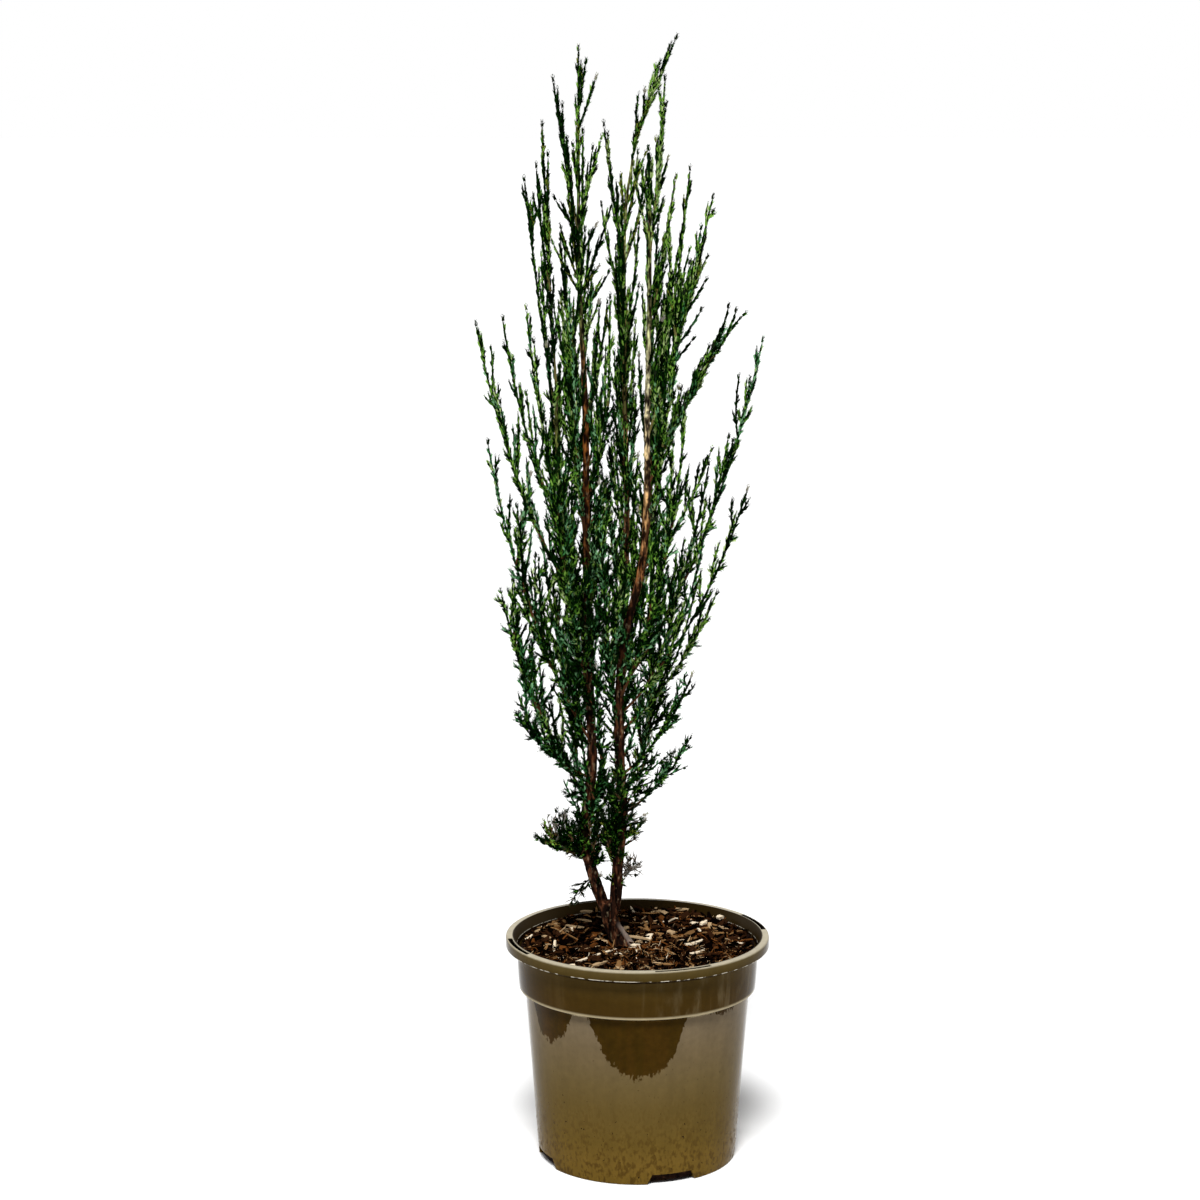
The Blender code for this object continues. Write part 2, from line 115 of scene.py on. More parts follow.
Mass = namedtuple("Mass", "name stem height tip girth bough")
MASSES = (
    Mass("leader_left", "stem_left", 950, (-56, 0, 1067), 9, 0),
    Mass("left_top_outer", "stem_left", 892, (-80, 12, 1039), 8, 0),
    Mass("left_top_front", "stem_left", 838, (-66, -38, 985), 6, 0),
    Mass("left_top_back", "stem_left", 815, (-52, 48, 990), 6, 0),
    Mass("left_upper_inner", "stem_left_branch", 750, (-90, 8, 998), 11, 0),
    Mass("left_upper_outer", "stem_left_branch", 722, (-106, -22, 949), 10, 0),
    Mass("left_out_back", "stem_left_branch", 640, (-106, 34, 826), 10, 0),
    Mass("left_out_front", "stem_left_branch", 610, (-127, -16, 820), 11, 0),
    Mass("left_out_high", "stem_left_branch", 542, (-153, 8, 813), 15, 0.12),
    Mass("left_out_mid", "stem_left", 405, (-142, -12, 704), 17, 0.14),
    Mass("left_out_low", "stem_left", 352, (-131, 6, 559), 16, 0.16),
    Mass("left_low_outer", "stem_left", 372, (-117, -30, 447), 10, 0),
    Mass("left_skirt", "stem_left", 296, (-93, -6, 318), 13, 0.18),
    Mass("left_hanging_twig", "stem_left", 276, (-66, -2, 247), 4, 0),
    Mass("left_front_high", "stem_left", 600, (-64, -74, 850), 14, 0),
    Mass("left_front_mid", "stem_left", 455, (-80, -94, 690), 19, 0),
    Mass("left_back_high", "stem_left", 590, (-70, 82, 880), 14, 0),
    Mass("left_back_mid", "stem_left", 450, (-84, 104, 715), 19, 0),
    Mass("left_back_low", "stem_left", 345, (-80, 82, 545), 17, 0),
    Mass("inner_high", "stem_left", 640, (-26, -32, 760), 13, 0),
    Mass("inner_mid", "stem_right", 415, (-34, -50, 600), 17, 0),
    Mass("inner_low", "stem_left", 318, (-32, -22, 425), 13, 0),
    Mass("middle_left_shoot", "stem_middle", 862, (-33, 16, 998), 8, 0),
    Mass("middle_back", "stem_middle", 610, (-18, 90, 900), 14, 0),
    Mass("middle_front", "stem_middle", 720, (-16, -34, 930), 10, 0),
    Mass("leader_middle", "stem_middle", 962, (35, 0, 1077), 8, 0),
    Mass("leader_right", "stem_right", 915, (9, 0, 976), 6, 0),
    Mass("right_top_inner", "stem_right", 868, (24, -8, 1040), 8, 0),
    Mass("right_top_outer", "stem_right", 800, (35, 18, 949), 9, 0),
    Mass("right_upper_back", "stem_right", 735, (49, 40, 880), 11, 0),
    Mass("right_upper_outer", "stem_right", 700, (69, -10, 932), 11, 0),
    Mass("right_out_front", "stem_right", 655, (100, -22, 824), 12, 0),
    Mass("right_out_high", "stem_right", 460, (117, 6, 798), 16, 0.12),
    Mass("right_out_mid", "stem_right", 436, (103, -18, 661), 17, 0.12),
    Mass("right_mid_back", "stem_right", 575, (71, 40, 690), 15, 0),
    Mass("right_low_back", "stem_right", 420, (77, 40, 551), 15, 0),
    Mass("right_low_front", "stem_right", 376, (52, -20, 483), 14, 0.16),
    Mass("right_low_spray", "stem_right", 338, (52, 4, 417), 9, 0.18),
    Mass("right_skirt", "stem_right", 312, (8, -10, 338), 9, 0),
    Mass("right_grey_tuft", "stem_right", 274, (4, 4, 291), 6, 0),
    Mass("right_front_high", "stem_right", 600, (36, -72, 850), 14, 0),
    Mass("right_front_mid", "stem_right", 450, (36, -98, 680), 19, 0),
    Mass("right_back_high", "stem_right", 610, (32, 86, 878), 14, 0),
    Mass("right_back_mid", "stem_right", 455, (26, 110, 710), 19, 0),
    Mass("right_back_low", "stem_right", 350, (38, 84, 540), 17, 0),
)
SHOOT_OUT = (0.42, 0.80)
SHOOT_UP = (0.22, 0.60)
# From this height up on a stem, shoots leave straighter
STRAIGHT_FROM = 700
STRAIGHT_OUT = (0.36, 0.72)
STRAIGHT_UP = (0.30, 0.66)
# This one goes up first and then out
OUTWARD_MASS = "right_out_front"
OUTWARD_OUT = (0.26, 0.52)
OUTWARD_UP = (0.32, 0.72)

# Whips that stand out of the crown: the line that each leaves, at what height, and its tip
Whip = namedtuple("Whip", "spine foot tip dead", defaults=(False,))
WHIPS = (
    Whip("left", 1008, (-49, 8, 1055)),
    Whip("left", 990, (-39, -12, 1041)),
    Whip("left", 945, (-58, 12, 999)),
    Whip("left", 930, (-61, -14, 980)),
    Whip("left", 905, (-34, 4, 986)),
    Whip("left", 880, (-63, -22, 922)),
    Whip("left", 868, (-38, -12, 906)),
    Whip("left", 840, (-36, -26, 868)),
    Whip("left", 833, (-23, -20, 930)),
    Whip("left", 815, (-26, 22, 860)),
    Whip("left", 790, (-36, -30, 836)),
    Whip("left_upper_inner", 880, (-84, -8, 971)),
    Whip("left_upper_inner", 860, (-89, 20, 918)),
    Whip("left_upper_inner", 850, (-85, -24, 914)),
    Whip("left_upper_inner", 825, (-89, -18, 867)),
    Whip("left_upper_inner", 790, (-83, -34, 832)),
    Whip("left_upper_outer", 885, (-98, 4, 931)),
    Whip("left_top_outer", 890, (-80, -16, 931)),
    Whip("left_top_front", 850, (-73, -40, 906)),
    Whip("left_top_front", 840, (-81, -30, 891)),
    Whip("middle_left_shoot", 950, (-29, -14, 989)),
    Whip("middle", 905, (-17, 18, 950)),
    Whip("middle", 918, (7, 14, 971)),
    Whip("middle", 970, (-2, 4, 999)),
    Whip("middle", 980, (8, -4, 1012)),
    Whip("middle", 994, (11, 10, 1022)),
    Whip("middle", 1008, (17, -8, 1040)),
    Whip("middle", 1024, (26, 7, 1055)),
    Whip("middle", 1000, (5, -10, 1029)),
    Whip("middle", 1003, (20, 10, 1031)),
    Whip("middle", 1015, (20, 6, 1054)),
    Whip("middle", 1040, (28, -6, 1067)),
    Whip("right", 915, (1, -16, 961)),
    Whip("right", 830, (21, -34, 884)),
    Whip("right", 815, (27, 28, 865)),
    Whip("right", 770, (22, -40, 821)),
    Whip("right_top_inner", 978, (25, 2, 1016)),
    Whip("right_top_inner", 960, (22, -14, 1000)),
    Whip("right_top_inner", 945, (16, 4, 984)),
    Whip("right_top_inner", 930, (22, -12, 975)),
    Whip("right_top_inner", 928, (28, 12, 966)),
    Whip("right_top_inner", 895, (23, -20, 930)),
    Whip("right_top_outer", 880, (30, 20, 919)),
    Whip("right_top_outer", 860, (27, -26, 905)),
    Whip("right_upper_back", 815, (47, 16, 856)),
    Whip("right_upper_outer", 905, (70, 0, 918)),
    Whip("right_upper_outer", 865, (61, -14, 892)),
    Whip("right_upper_outer", 840, (65, 10, 875)),
    Whip("right_upper_outer", 815, (63, -24, 856)),
    Whip("right_upper_outer", 785, (61, 24, 824)),
    Whip("right_upper_outer", 770, (52, -30, 802)),
    Whip("right_out_front", 712, (70, -26, 796)),
    Whip("right_out_high", 735, (104, -14, 764)),
    Whip("right_out_high", 700, (100, 18, 731)),
    Whip("right_out_high", 675, (88, -20, 706)),
    Whip("left_skirt", 314, (-68, -20, 309)),
    Whip("left_skirt", 300, (-70, 10, 299)),
    Whip("left_skirt", 302, (-76, -14, 345)),
    Whip("left_skirt", 301, (-71, 6, 342)),
    Whip("left_skirt", 300, (-62, -20, 336)),
    Whip("left_skirt", 304, (-62, 8, 330)),
    Whip("left_skirt", 306, (-72, -12, 333)),
    Whip("left_skirt", 299, (-61, 8, 322)),
    Whip("left_skirt", 307, (-80, 4, 332)),
    Whip("left_skirt", 303, (-58, -8, 331)),
    Whip("left", 303, (-60, -10, 322)),
    Whip("left", 310, (-64, 6, 334)),
    Whip("left", 318, (-61, -12, 343)),
    Whip("left", 326, (-57, -16, 350)),
    Whip("left", 294, (-62, -8, 308)),
    Whip("left", 356, (-66, -8, 376)),
    Whip("left", 364, (-70, 6, 388)),
    Whip("left", 352, (-71, 4, 357)),
    Whip("left", 350, (-73, -12, 365)),
    Whip("left", 300, (-32, -18, 330)),
    Whip("left", 292, (-40, -22, 318)),
    Whip("left", 284, (-34, -16, 300)),
    Whip("left", 268, (-35, -8, 283)),
    Whip("right", 288, (-36, -14, 344)),
    Whip("right", 296, (-40, -20, 330)),
    Whip("right", 300, (-30, -6, 348)),
    Whip("right", 310, (-27, -24, 352)),
    Whip("right", 262, (-27, -12, 284)),
    Whip("right", 292, (-30, -16, 322)),
    Whip("right", 298, (-26, -22, 336)),
    Whip("left", 296, (-38, -14, 338)),
    Whip("left", 312, (-30, -14, 346)),
    Whip("right", 358, (48, -6, 388)),
    Whip("right", 352, (24, 6, 367)),
    Whip("right", 362, (33, -14, 404)),
    Whip("right", 364, (18, 8, 392)),
    Whip("right", 346, (10, -6, 359)),
    Whip("right", 340, (2, -16, 352)),
    Whip("right", 315, (5, -8, 324)),
    Whip("right", 306, (1, 6, 316)),
    Whip("right", 325, (8, -14, 336)),
    Whip("right", 336, (-1, -12, 342)),
    Whip("right_grey_tuft", 282, (-7, -8, 299)),
    Whip("right_grey_tuft", 284, (3, 2, 287)),
    Whip("right_grey_tuft", 283, (-1, 10, 294)),
    Whip("right_grey_tuft", 284, (5, -10, 282)),
    Whip("right_grey_tuft", 279, (2, 9, 276)),
    Whip("right_grey_tuft", 280, (-10, -4, 301)),
    Whip("right_grey_tuft", 281, (-3, -14, 296)),
    Whip("left_skirt", 312, (-77, 4, 345), True),
    Whip("left_skirt", 309, (-66, -10, 348), True),
    Whip("left_skirt", 311, (-72, 12, 338), True),
    Whip("right", 328, (10, -4, 341), True),
    Whip("right", 326, (7, 6, 334), True),
    Whip("right", 264, (-8, 3, 281)),
    Whip("left_hanging_twig", 262, (-61, -7, 250)),
)

# Shoots that fill the crown round a stem or bough, from one height to another: a new one each step up
# it, which reaches this far out and rises this far, between two directions in degrees (-90 is
# the front). They reach further to the front and back than to the sides.
Filling = namedtuple("Filling", "spine low high step reach rise turns")
FILLINGS = (
    Filling("left", 372, 480, 18, (10, 42), (40, 100), (95, 275)),
    Filling("left", 480, 690, 22, (8, 40), (50, 120), (0, 360)),
    Filling("left", 420, 640, 28, (12, 38), (60, 120), (-150, -20)),
    Filling("left", 690, 900, 38, (8, 24), (60, 140), (-20, 200)),
    Filling("right", 340, 440, 22, (10, 40), (40, 100), (-70, 100)),
    Filling("right", 440, 640, 23, (10, 42), (60, 120), (20, 190)),
    Filling("right", 640, 890, 26, (8, 28), (60, 130), (-10, 190)),
    Filling("right", 420, 540, 27, (14, 38), (70, 120), (-200, -115)),
    Filling("right", 400, 640, 26, (22, 42), (90, 140), (-65, -25)),
    Filling("middle", 520, 700, 18, (8, 26), (60, 110), (-170, -40)),
    Filling("middle", 500, 720, 19, (10, 32), (60, 120), (100, 200)),
    Filling("left", 500, 720, 21, (14, 36), (60, 120), (0, 80)),
    Filling("left", 470, 640, 21, (16, 30), (70, 120), (-60, -20)),
    Filling("middle", 600, 920, 34, (8, 20), (70, 120), (-10, 190)),
    Filling("stem_left_branch", 500, 740, 28, (8, 22), (60, 120), (0, 360)),
    Filling("left_out_low", 375, 500, 20, (8, 34), (45, 90), (-70, 70)),
    Filling("left_out_mid", 430, 600, 24, (8, 36), (50, 100), (-70, 70)),
    Filling("left_low_outer", 385, 430, 15, (6, 20), (30, 60), (-70, 70)),
    Filling("right_out_front", 690, 775, 9, (5, 20), (40, 75), (110, 250)),
    Filling("right_upper_outer", 740, 840, 15, (5, 14), (50, 80), (110, 250)),
    Filling("left_skirt", 297, 307, 2.0, (4, 16), (12, 30), (20, 160)),
    Filling("left", 282, 345, 3.2, (9, 24), (18, 46), (-65, 50)),
    Filling("left", 290, 335, 5, (8, 20), (14, 34), (145, 250)),
    Filling("left", 345, 362, 4, (8, 22), (14, 32), (135, 235)),
    Filling("right", 284, 350, 3.4, (9, 24), (18, 44), (130, 245)),
    Filling("right", 300, 395, 8, (4, 12), (24, 50), (-150, -80)),
)
FILLING_DEPTH = 1.8
FILLING_DEPTH_FROM = 0.40

# Shoots that rise from the boughs at the front and back, so that the crown is as full seen from
# its sides: the mass, and how many of them rise from it
RISERS = (
    ("left_front_high", 5), ("left_front_mid", 8), ("left_back_high", 6), ("left_back_mid", 9),
    ("left_back_low", 7), ("inner_mid", 5), ("inner_low", 3), ("inner_high", 4), ("middle_back", 6),
    ("right_front_high", 5), ("right_front_mid", 8), ("right_back_high", 6), ("right_back_mid", 9),
    ("right_back_low", 8),
)
RISER_FEET = (0.28, 0.88)
RISER_REACH = (55 * MM, 125 * MM)
RISER_LEAN = 0.12

# Where a stem's bark shows in the photo: between these heights, this share of the sprays that would
# grow in front of it, within this far of its middle, is left out
Stretch = namedtuple("Stretch", "stem low high half share")
OPEN_STRETCHES = (
    Stretch("stem_left", 300, 345, 3.2, 0.35),
    Stretch("stem_left", 345, 440, 3.4, 0.75),
    Stretch("stem_left", 585, 720, 3.2, 0.90),
    Stretch("stem_left", 720, 800, 3.0, 0.55),
    Stretch("stem_middle", 600, 730, 2.6, 0.80),
    Stretch("stem_right", 395, 560, 4.0, 0.72),
    Stretch("stem_right", 560, 900, 4.0, 0.92),
)

# Bark: what multiplies the limb's colour from deep cracks to loose strips, and its patches
BARK_SHADES = (
    (0.41, (0.03, 0.02, 0.02)), (0.48, (0.40, 0.35, 0.32)), (0.545, (1.10, 1.05, 1.0)), (0.64, (2.4, 2.3, 2.15)),
)
BARK_PALE = (0.260, 0.190, 0.110)
BARK_DARK = (0.006, 0.003, 0.002)
BARK_BANDS = {
    "stem_left": (
        (240, (0.034, 0.012, 0.006)), (400, (0.036, 0.013, 0.006)), (560, (0.044, 0.018, 0.007)),
        (640, (0.110, 0.040, 0.010)), (690, (0.150, 0.052, 0.011)), (770, (0.110, 0.048, 0.016)),
        (800, (0.050, 0.048, 0.018)), (900, (0.040, 0.070, 0.016)),
    ),
    "stem_right": (
        (240, (0.034, 0.012, 0.006)), (420, (0.036, 0.013, 0.006)), (545, (0.038, 0.014, 0.006)),
        (585, (0.170, 0.070, 0.024)), (640, (0.330, 0.195, 0.085)), (690, (0.380, 0.295, 0.165)),
        (740, (0.350, 0.330, 0.210)), (820, (0.260, 0.290, 0.135)), (890, (0.110, 0.155, 0.038)),
    ),
    "stem_middle": (
        (500, (0.050, 0.024, 0.011)), (640, (0.110, 0.055, 0.020)), (700, (0.180, 0.120, 0.045)),
        (760, (0.190, 0.130, 0.048)), (880, (0.200, 0.225, 0.075)), (950, (0.230, 0.280, 0.095)),
    ),
    "stem_left_branch": (
        (470, (0.045, 0.022, 0.010)), (580, (0.070, 0.065, 0.018)), (740, (0.065, 0.085, 0.020)),
    ),
    "trunk": ((205, (0.026, 0.010, 0.005)), (235, (0.036, 0.013, 0.006)), (300, (0.034, 0.012, 0.006))),
}
# The smooth pale strip down the right side of the trunk's foot: it follows a line that goes out
# to the right by this much for each unit down
FOOT_STRIP = (0.230, 0.180, 0.150)
FOOT_STRIP_LEAN = 0.62

# Pot. Its outline goes from the underside's middle up the outside, over the rim and down inside,
# as (radius, height, fillet) corners.
POT_HEIGHT = 0.2196
POT_TOP = 219.6
POT_FOOT = 95.8
POT_FLOOR = 2.8
FLOOR_WALL = 94.0
NOTCH_HEIGHT = 10.0
NOTCH_INNER = 83.0
NOTCH_HALF = 15
NOTCH_LEAN = 3.0
FADE_HEIGHT = 24.0
SLOT_AZIMUTH = 20
SLOT_HALF = 13
SLOT_OUTER = 126.1
SLOT_INNER = 121.7
SLOT_FLOOR = 212.6
POT_OUTLINE = (
    (0, 0, 0), (60, 0, 0), (NOTCH_INNER, 0, 0), (POT_FOOT, 0, 1.2), (96.55, NOTCH_HEIGHT, 0), (97.6, 24, 0),
    (99.9, 55, 0), (102.9, 95, 0), (105.9, 135, 0), (108.3, 166.6, 1.2), (114.7, 169, 1.3),
    (115.2, 178, 0), (116.2, 196, 0), (117, 210, 0.5), (127.3, 210, 0.9), (127.5, 219.6, 1.2),
    (SLOT_OUTER, 219.6, 0), (SLOT_INNER, 219.6, 0), (120.2, 219.6, 0.8), (114.6, 210, 3.0),
    (112.3, 170.2, 2.0), (105.9, 164.2, 2.0), (97.5, 55, 0), (FLOOR_WALL, NOTCH_HEIGHT, 0), (93.4, POT_FLOOR, 0),
    (NOTCH_INNER, POT_FLOOR, 0), (40, POT_FLOOR, 0), (0, POT_FLOOR, 0),
)
# Colours up the pot by height in millimetres. The collar grows lighter from 186 to 204.9: painted light that offsets
# the rim's shadow on it. The near-black band from 205.8 to 209.8 is painted shade under the rim.
POT_BANDS = (
    (0, (0.108, 0.064, 0.010)), (20, (0.110, 0.066, 0.012)), (40, (0.092, 0.057, 0.011)),
    (75, (0.086, 0.056, 0.015)), (100, (0.094, 0.065, 0.024)), (135, (0.112, 0.081, 0.042)),
    (166, (0.132, 0.100, 0.062)), (168, (0.330, 0.275, 0.170)),
    (170.5, (0.290, 0.240, 0.145)), (172, (0.036, 0.019, 0.003)), (186, (0.037, 0.020, 0.003)),
    (198, (0.050, 0.029, 0.006)), (204.9, (0.056, 0.034, 0.008)), (205.8, (0.008, 0.003, 0.001)),
    (209.8, (0.008, 0.003, 0.001)), (210.4, (0.042, 0.026, 0.005)),
    (218.0, (0.060, 0.041, 0.013)),
    (219.2, (0.210, 0.180, 0.118)), (219.6, (0.330, 0.292, 0.210)),
)
POT_RIM_GLINT = (0.560, 0.520, 0.430)
# The lower edge of the wet film, in millimetres up the pot, by degrees round from the front
WET_EDGE = (
    (-180, 150), (-160, 172), (-140, 124), (-118, 150), (-100, 172), (-69, 172), (-65, 158), (-62, 140),
    (-57, 132), (-51, 131), (-40, 146), (-34, 168), (-29, 172), (-26, 166), (-22, 147), (-17, 126),
    (-8, 110), (-1, 106), (11, 113), (19, 130), (22, 150), (26, 170), (37, 172), (41, 166), (47, 161),
    (56, 163), (62, 172), (95, 172), (118, 130), (140, 160), (180, 150),
)
POT_WET = (0.030, 0.0155, 0.0014)
POT_WET_RED = (0.035, 0.0168, 0.0017)
POT_STREAK = (0.130, 0.098, 0.050)
POT_DIRT = (0.040, 0.020, 0.003)
POT_SPECK = (0.008, 0.004, 0.002)
# Painted shade: the pot's inner face near the top is darkened
POT_INSIDE_SHADE = (0.013, 0.007, 0.001)
# Painted shade: the slots in the rim are near-black
POT_SLOT_SHADE = (0.003, 0.002, 0.001)
POT_GLOSS = (1.0, 0.82, 0.50)

# Compost and mulch
SOIL_MIDDLE = 208.2
SOIL_DROP = 1.0
SOIL_BACK_RISE = 3.0
SOIL_RIGHT_RISE = 1.8
SOIL_EDGE = 113.4
SOIL_LUMPS = 1.6
SOIL_SIDE = ((113.6, 201), (111.6, 171), (105.2, 164.4), (93.0, 3.4))
CHIP_COLORS = {
    "chip_black": (0.0016, 0.0007, 0.0005),
    "chip_brown": (0.020, 0.0075, 0.003),
    "chip_rust": (0.088, 0.030, 0.007),
    "chip_tan": (0.170, 0.090, 0.034),
    "chip_buff": (0.320, 0.220, 0.120),
    "chip_cream": (0.600, 0.500, 0.360),
}
BLACK_CHIP, BROWN_CHIP, RUST_CHIP, TAN_CHIP, BUFF_CHIP, CREAM_CHIP = range(len(CHIP_COLORS))
Layer = namedtuple("Layer", "count long slim thick lift tilt shares")
MULCH_LAYERS = (
    Layer(1000, (4, 12), (0.16, 0.40), (0.8, 1.8), (0.0, 1.4), 0.34, (0.70, 0.24, 0.05, 0.01, 0.0, 0.0)),
    Layer(420, (8, 17), (0.34, 0.60), (1.0, 2.0), (1.0, 2.8), 0.34, (0.34, 0.32, 0.18, 0.11, 0.04, 0.01)),
    Layer(800, (7, 20), (0.10, 0.26), (0.9, 2.0), (0.8, 3.2), 0.32, (0.38, 0.28, 0.15, 0.12, 0.06, 0.01)),
    Layer(520, (5, 13), (0.10, 0.24), (0.6, 1.3), (1.8, 4.2), 0.42, (0.28, 0.24, 0.16, 0.19, 0.11, 0.02)),
    Layer(250, (8, 18), (0.16, 0.40), (1.0, 2.2), (2.8, 4.8), 0.26, (0.22, 0.24, 0.15, 0.20, 0.15, 0.04)),
)
CHIP_WIDTHS = (0.7, 7.5)
# Fine curly shreds, mostly orange and tan, which lie thickest towards the front
SHREDS = Layer(1000, (4, 12), (0.05, 0.13), (0.5, 0.9), (1.8, 4.6), 0.60, (0.20, 0.18, 0.24, 0.22, 0.12, 0.04))
SHREDS_FRONT = -38
# Most pale chips lie round this place, where the mulch is lit. This far from it, this share of them is dark: painted
# shade.
PALE_PLACE = (14, -4)
PALE_REACH = 95
DARK_SHARE = 0.60
# Chips that stand out in the photo: their ends from the pot's middle, and their widths
Chip = namedtuple("Chip", "start end wide thick color")
CHIPS_LIFT = 5.0
CHIPS = (
    Chip((-57, -68), (-20, -19), 3.4, 2.6, CREAM_CHIP),
    Chip((-44, -74), (-30, -62), 4.2, 2.2, BUFF_CHIP),
    Chip((46, -16), (64, 1), 4.2, 2.0, CREAM_CHIP),
    Chip((50, -42), (64, -32), 3.2, 1.6, CREAM_CHIP),
    Chip((-7, 8), (12, 1), 3.0, 2.0, BUFF_CHIP),
    Chip((-69, 53), (-52, 42), 5.5, 1.6, BUFF_CHIP),
    Chip((80, 68), (86, 74), 6.0, 4.0, CREAM_CHIP),
    Chip((29, 22), (37, 22), 5.5, 4.0, BUFF_CHIP),
    Chip((-6, -14), (2, -10), 3.0, 2.2, CREAM_CHIP),
    Chip((63, 48), (69, 58), 4.0, 3.0, CREAM_CHIP),
    Chip((-56, 96), (-44, 100), 4.5, 2.4, BUFF_CHIP),
    Chip((40, 100), (52, 98), 4.5, 2.6, BUFF_CHIP),
    Chip((-88, 62), (-76, 50), 3.6, 1.8, TAN_CHIP),
    Chip((-78, 39), (-58, 5), 1.8, 1.4, TAN_CHIP),
    Chip((-93, 20), (-84, 16), 3.4, 2.0, BUFF_CHIP),
    Chip((-60, 70), (-45, 64), 4.4, 1.8, BUFF_CHIP),
    Chip((2, 40), (12, 30), 3.0, 2.0, TAN_CHIP),
    Chip((70, 20), (88, 22), 3.2, 2.0, TAN_CHIP),
)

# Foliage. A cord is a twig clothed in scale leaves, with stubby branchlets that lie along it.
LEAF_STEP = 2.8 * MM
LEAF_LENGTH = 3.5 * MM
LAST_LEAF = 0.45
CORD_RADII = (1.25 * MM, 1.10 * MM, 1.00 * MM, 0.85 * MM, 1.45 * MM)
# The twig that hangs over the rim and the low sprays on the right, between these heights, are finest
FINE = 3
FINE_FROM = 0.345
FINE_BELOW = 0.42
HANGING_BELOW = 0.262
# Shoots end in blunt tips
BLUNT = 4
# Sprays below this are darkest
FOOT_BELOW = 0.36
STUB_STEP = 4.6 * MM
STUB_PLACES = (0.0, 0.62, 1.0)
STUB_RADII = (0.80 * MM, 1.00 * MM, 0.0)
STUB_LEAF = 2.4 * MM
DEAD_SLIM = 0.50

# Pairs hold the value at the crown's foot, where sprays are wide, and at its top, where they are
# upright. Angles are in degrees off the shoot.
CROWN_FOOT = 0.40
CROWN_TOP = 0.84
LATERAL_LEAVES = (42, 15)
LATERAL_ENDS = (24, 2)
LATERAL_STEP = (8.0 * MM, 17 * MM)
LATERAL_REACH = (28 * MM, 32 * MM)
SIDE_LEAVES = (40, 16)
SIDE_ENDS = (20, 5)
SIDE_STEP = (7.5 * MM, 18 * MM)
SIDE_LENGTH = (9 * MM, 9 * MM)
STUB_LEAVES = (36, 15)
STUB_ENDS = (20, 2)
STUB_LENGTH = (4.2 * MM, 5.2 * MM)
CLEAR_TIP = (12 * MM, 28 * MM)
TIP_LENGTH = 9 * MM
# A shoot with fewer leaf steps than this doesn't grow
SHORTEST = 6
UPPER_SIDE_GAIN = 1.9
UPWARD_BEND = (0.04, 0.16)

COMPANION_SHARE = (85 * MM, 170 * MM)
COMPANION_INWARD = 0.16
TWIG_GREENS_AT = 0.70

# Leaf colours. The near-black core green stands in for shade among the leaves; the pale green and the pale bluish
# green are painted highlights.
GREENS = {
    "green_core": (0.0010, 0.0040, 0.0006),
    "green_deep": (0.005, 0.026, 0.003),
    "green_mid": (0.056, 0.160, 0.017),
    "green_blue": (0.038, 0.155, 0.046),
    "green_bright": (0.175, 0.345, 0.050),
    "green_olive": (0.140, 0.170, 0.022),
    "green_pale": (0.340, 0.450, 0.170),
    "green_frost": (0.160, 0.350, 0.165),
    "grey_dead": (0.180, 0.165, 0.140),
    "brown_dead": (0.100, 0.055, 0.025),
    "tip_dark": (0.010, 0.015, 0.007),
    "tip_pale": (0.240, 0.225, 0.180),
}
(CORE, DEEP, MID, BLUE, BRIGHT, OLIVE, PALE, BLUE_HIGHLIGHT, GREY_DEAD, BROWN_DEAD, TIP_DARK,
 TIP_PALE) = range(len(GREENS))
# The tones that the leaves along a cord of each colour take, and those of the stubs that stand out from it, which are
# lighter: painted light on the stubs, and painted shade on the many near-black leaves between them.
DEAD_TONES = (
    (GREY_DEAD, GREY_DEAD, GREY_DEAD, GREY_DEAD, BROWN_DEAD, TIP_DARK),
    (BROWN_DEAD, BROWN_DEAD, BROWN_DEAD, GREY_DEAD, TIP_DARK, DEEP),
    (TIP_DARK, TIP_DARK, TIP_DARK, TIP_DARK, DEEP, CORE),
    (TIP_PALE, TIP_PALE, TIP_PALE, TIP_PALE, OLIVE, MID),
)
LEAF_TONES = np.array((
    (CORE, CORE, CORE, CORE, CORE, DEEP),
    (CORE, CORE, CORE, DEEP, DEEP, DEEP),
    (CORE, CORE, DEEP, MID, MID, MID),
    (CORE, CORE, DEEP, BLUE, BLUE, BLUE),
    (CORE, DEEP, MID, BRIGHT, BRIGHT, BRIGHT),
    (CORE, DEEP, MID, OLIVE, OLIVE, OLIVE),
    (DEEP, MID, BRIGHT, PALE, PALE, PALE),
    (CORE, DEEP, BLUE, BLUE_HIGHLIGHT, BLUE_HIGHLIGHT, BLUE_HIGHLIGHT),
    *DEAD_TONES,
))
STUB_TONES = np.array((
    (CORE, CORE, CORE, CORE, DEEP, DEEP),
    (CORE, CORE, DEEP, DEEP, DEEP, MID),
    (CORE, DEEP, MID, MID, BRIGHT, BRIGHT),
    (CORE, DEEP, BLUE, BLUE, BLUE_HIGHLIGHT, BLUE_HIGHLIGHT),
    (CORE, MID, BRIGHT, BRIGHT, PALE, PALE),
    (CORE, MID, OLIVE, OLIVE, BRIGHT, BRIGHT),
    (MID, BRIGHT, PALE, PALE, PALE, PALE),
    (DEEP, BLUE, BLUE_HIGHLIGHT, BLUE_HIGHLIGHT, BLUE_HIGHLIGHT, PALE),
    *DEAD_TONES,
))
TWIG_COLORS = {"twig_brown": (0.075, 0.032, 0.014), "twig_olive": (0.120, 0.105, 0.035)}


def unit(v):
    return v / np.maximum(np.linalg.norm(v, axis=-1, keepdims=True), 1e-12)


# Materials


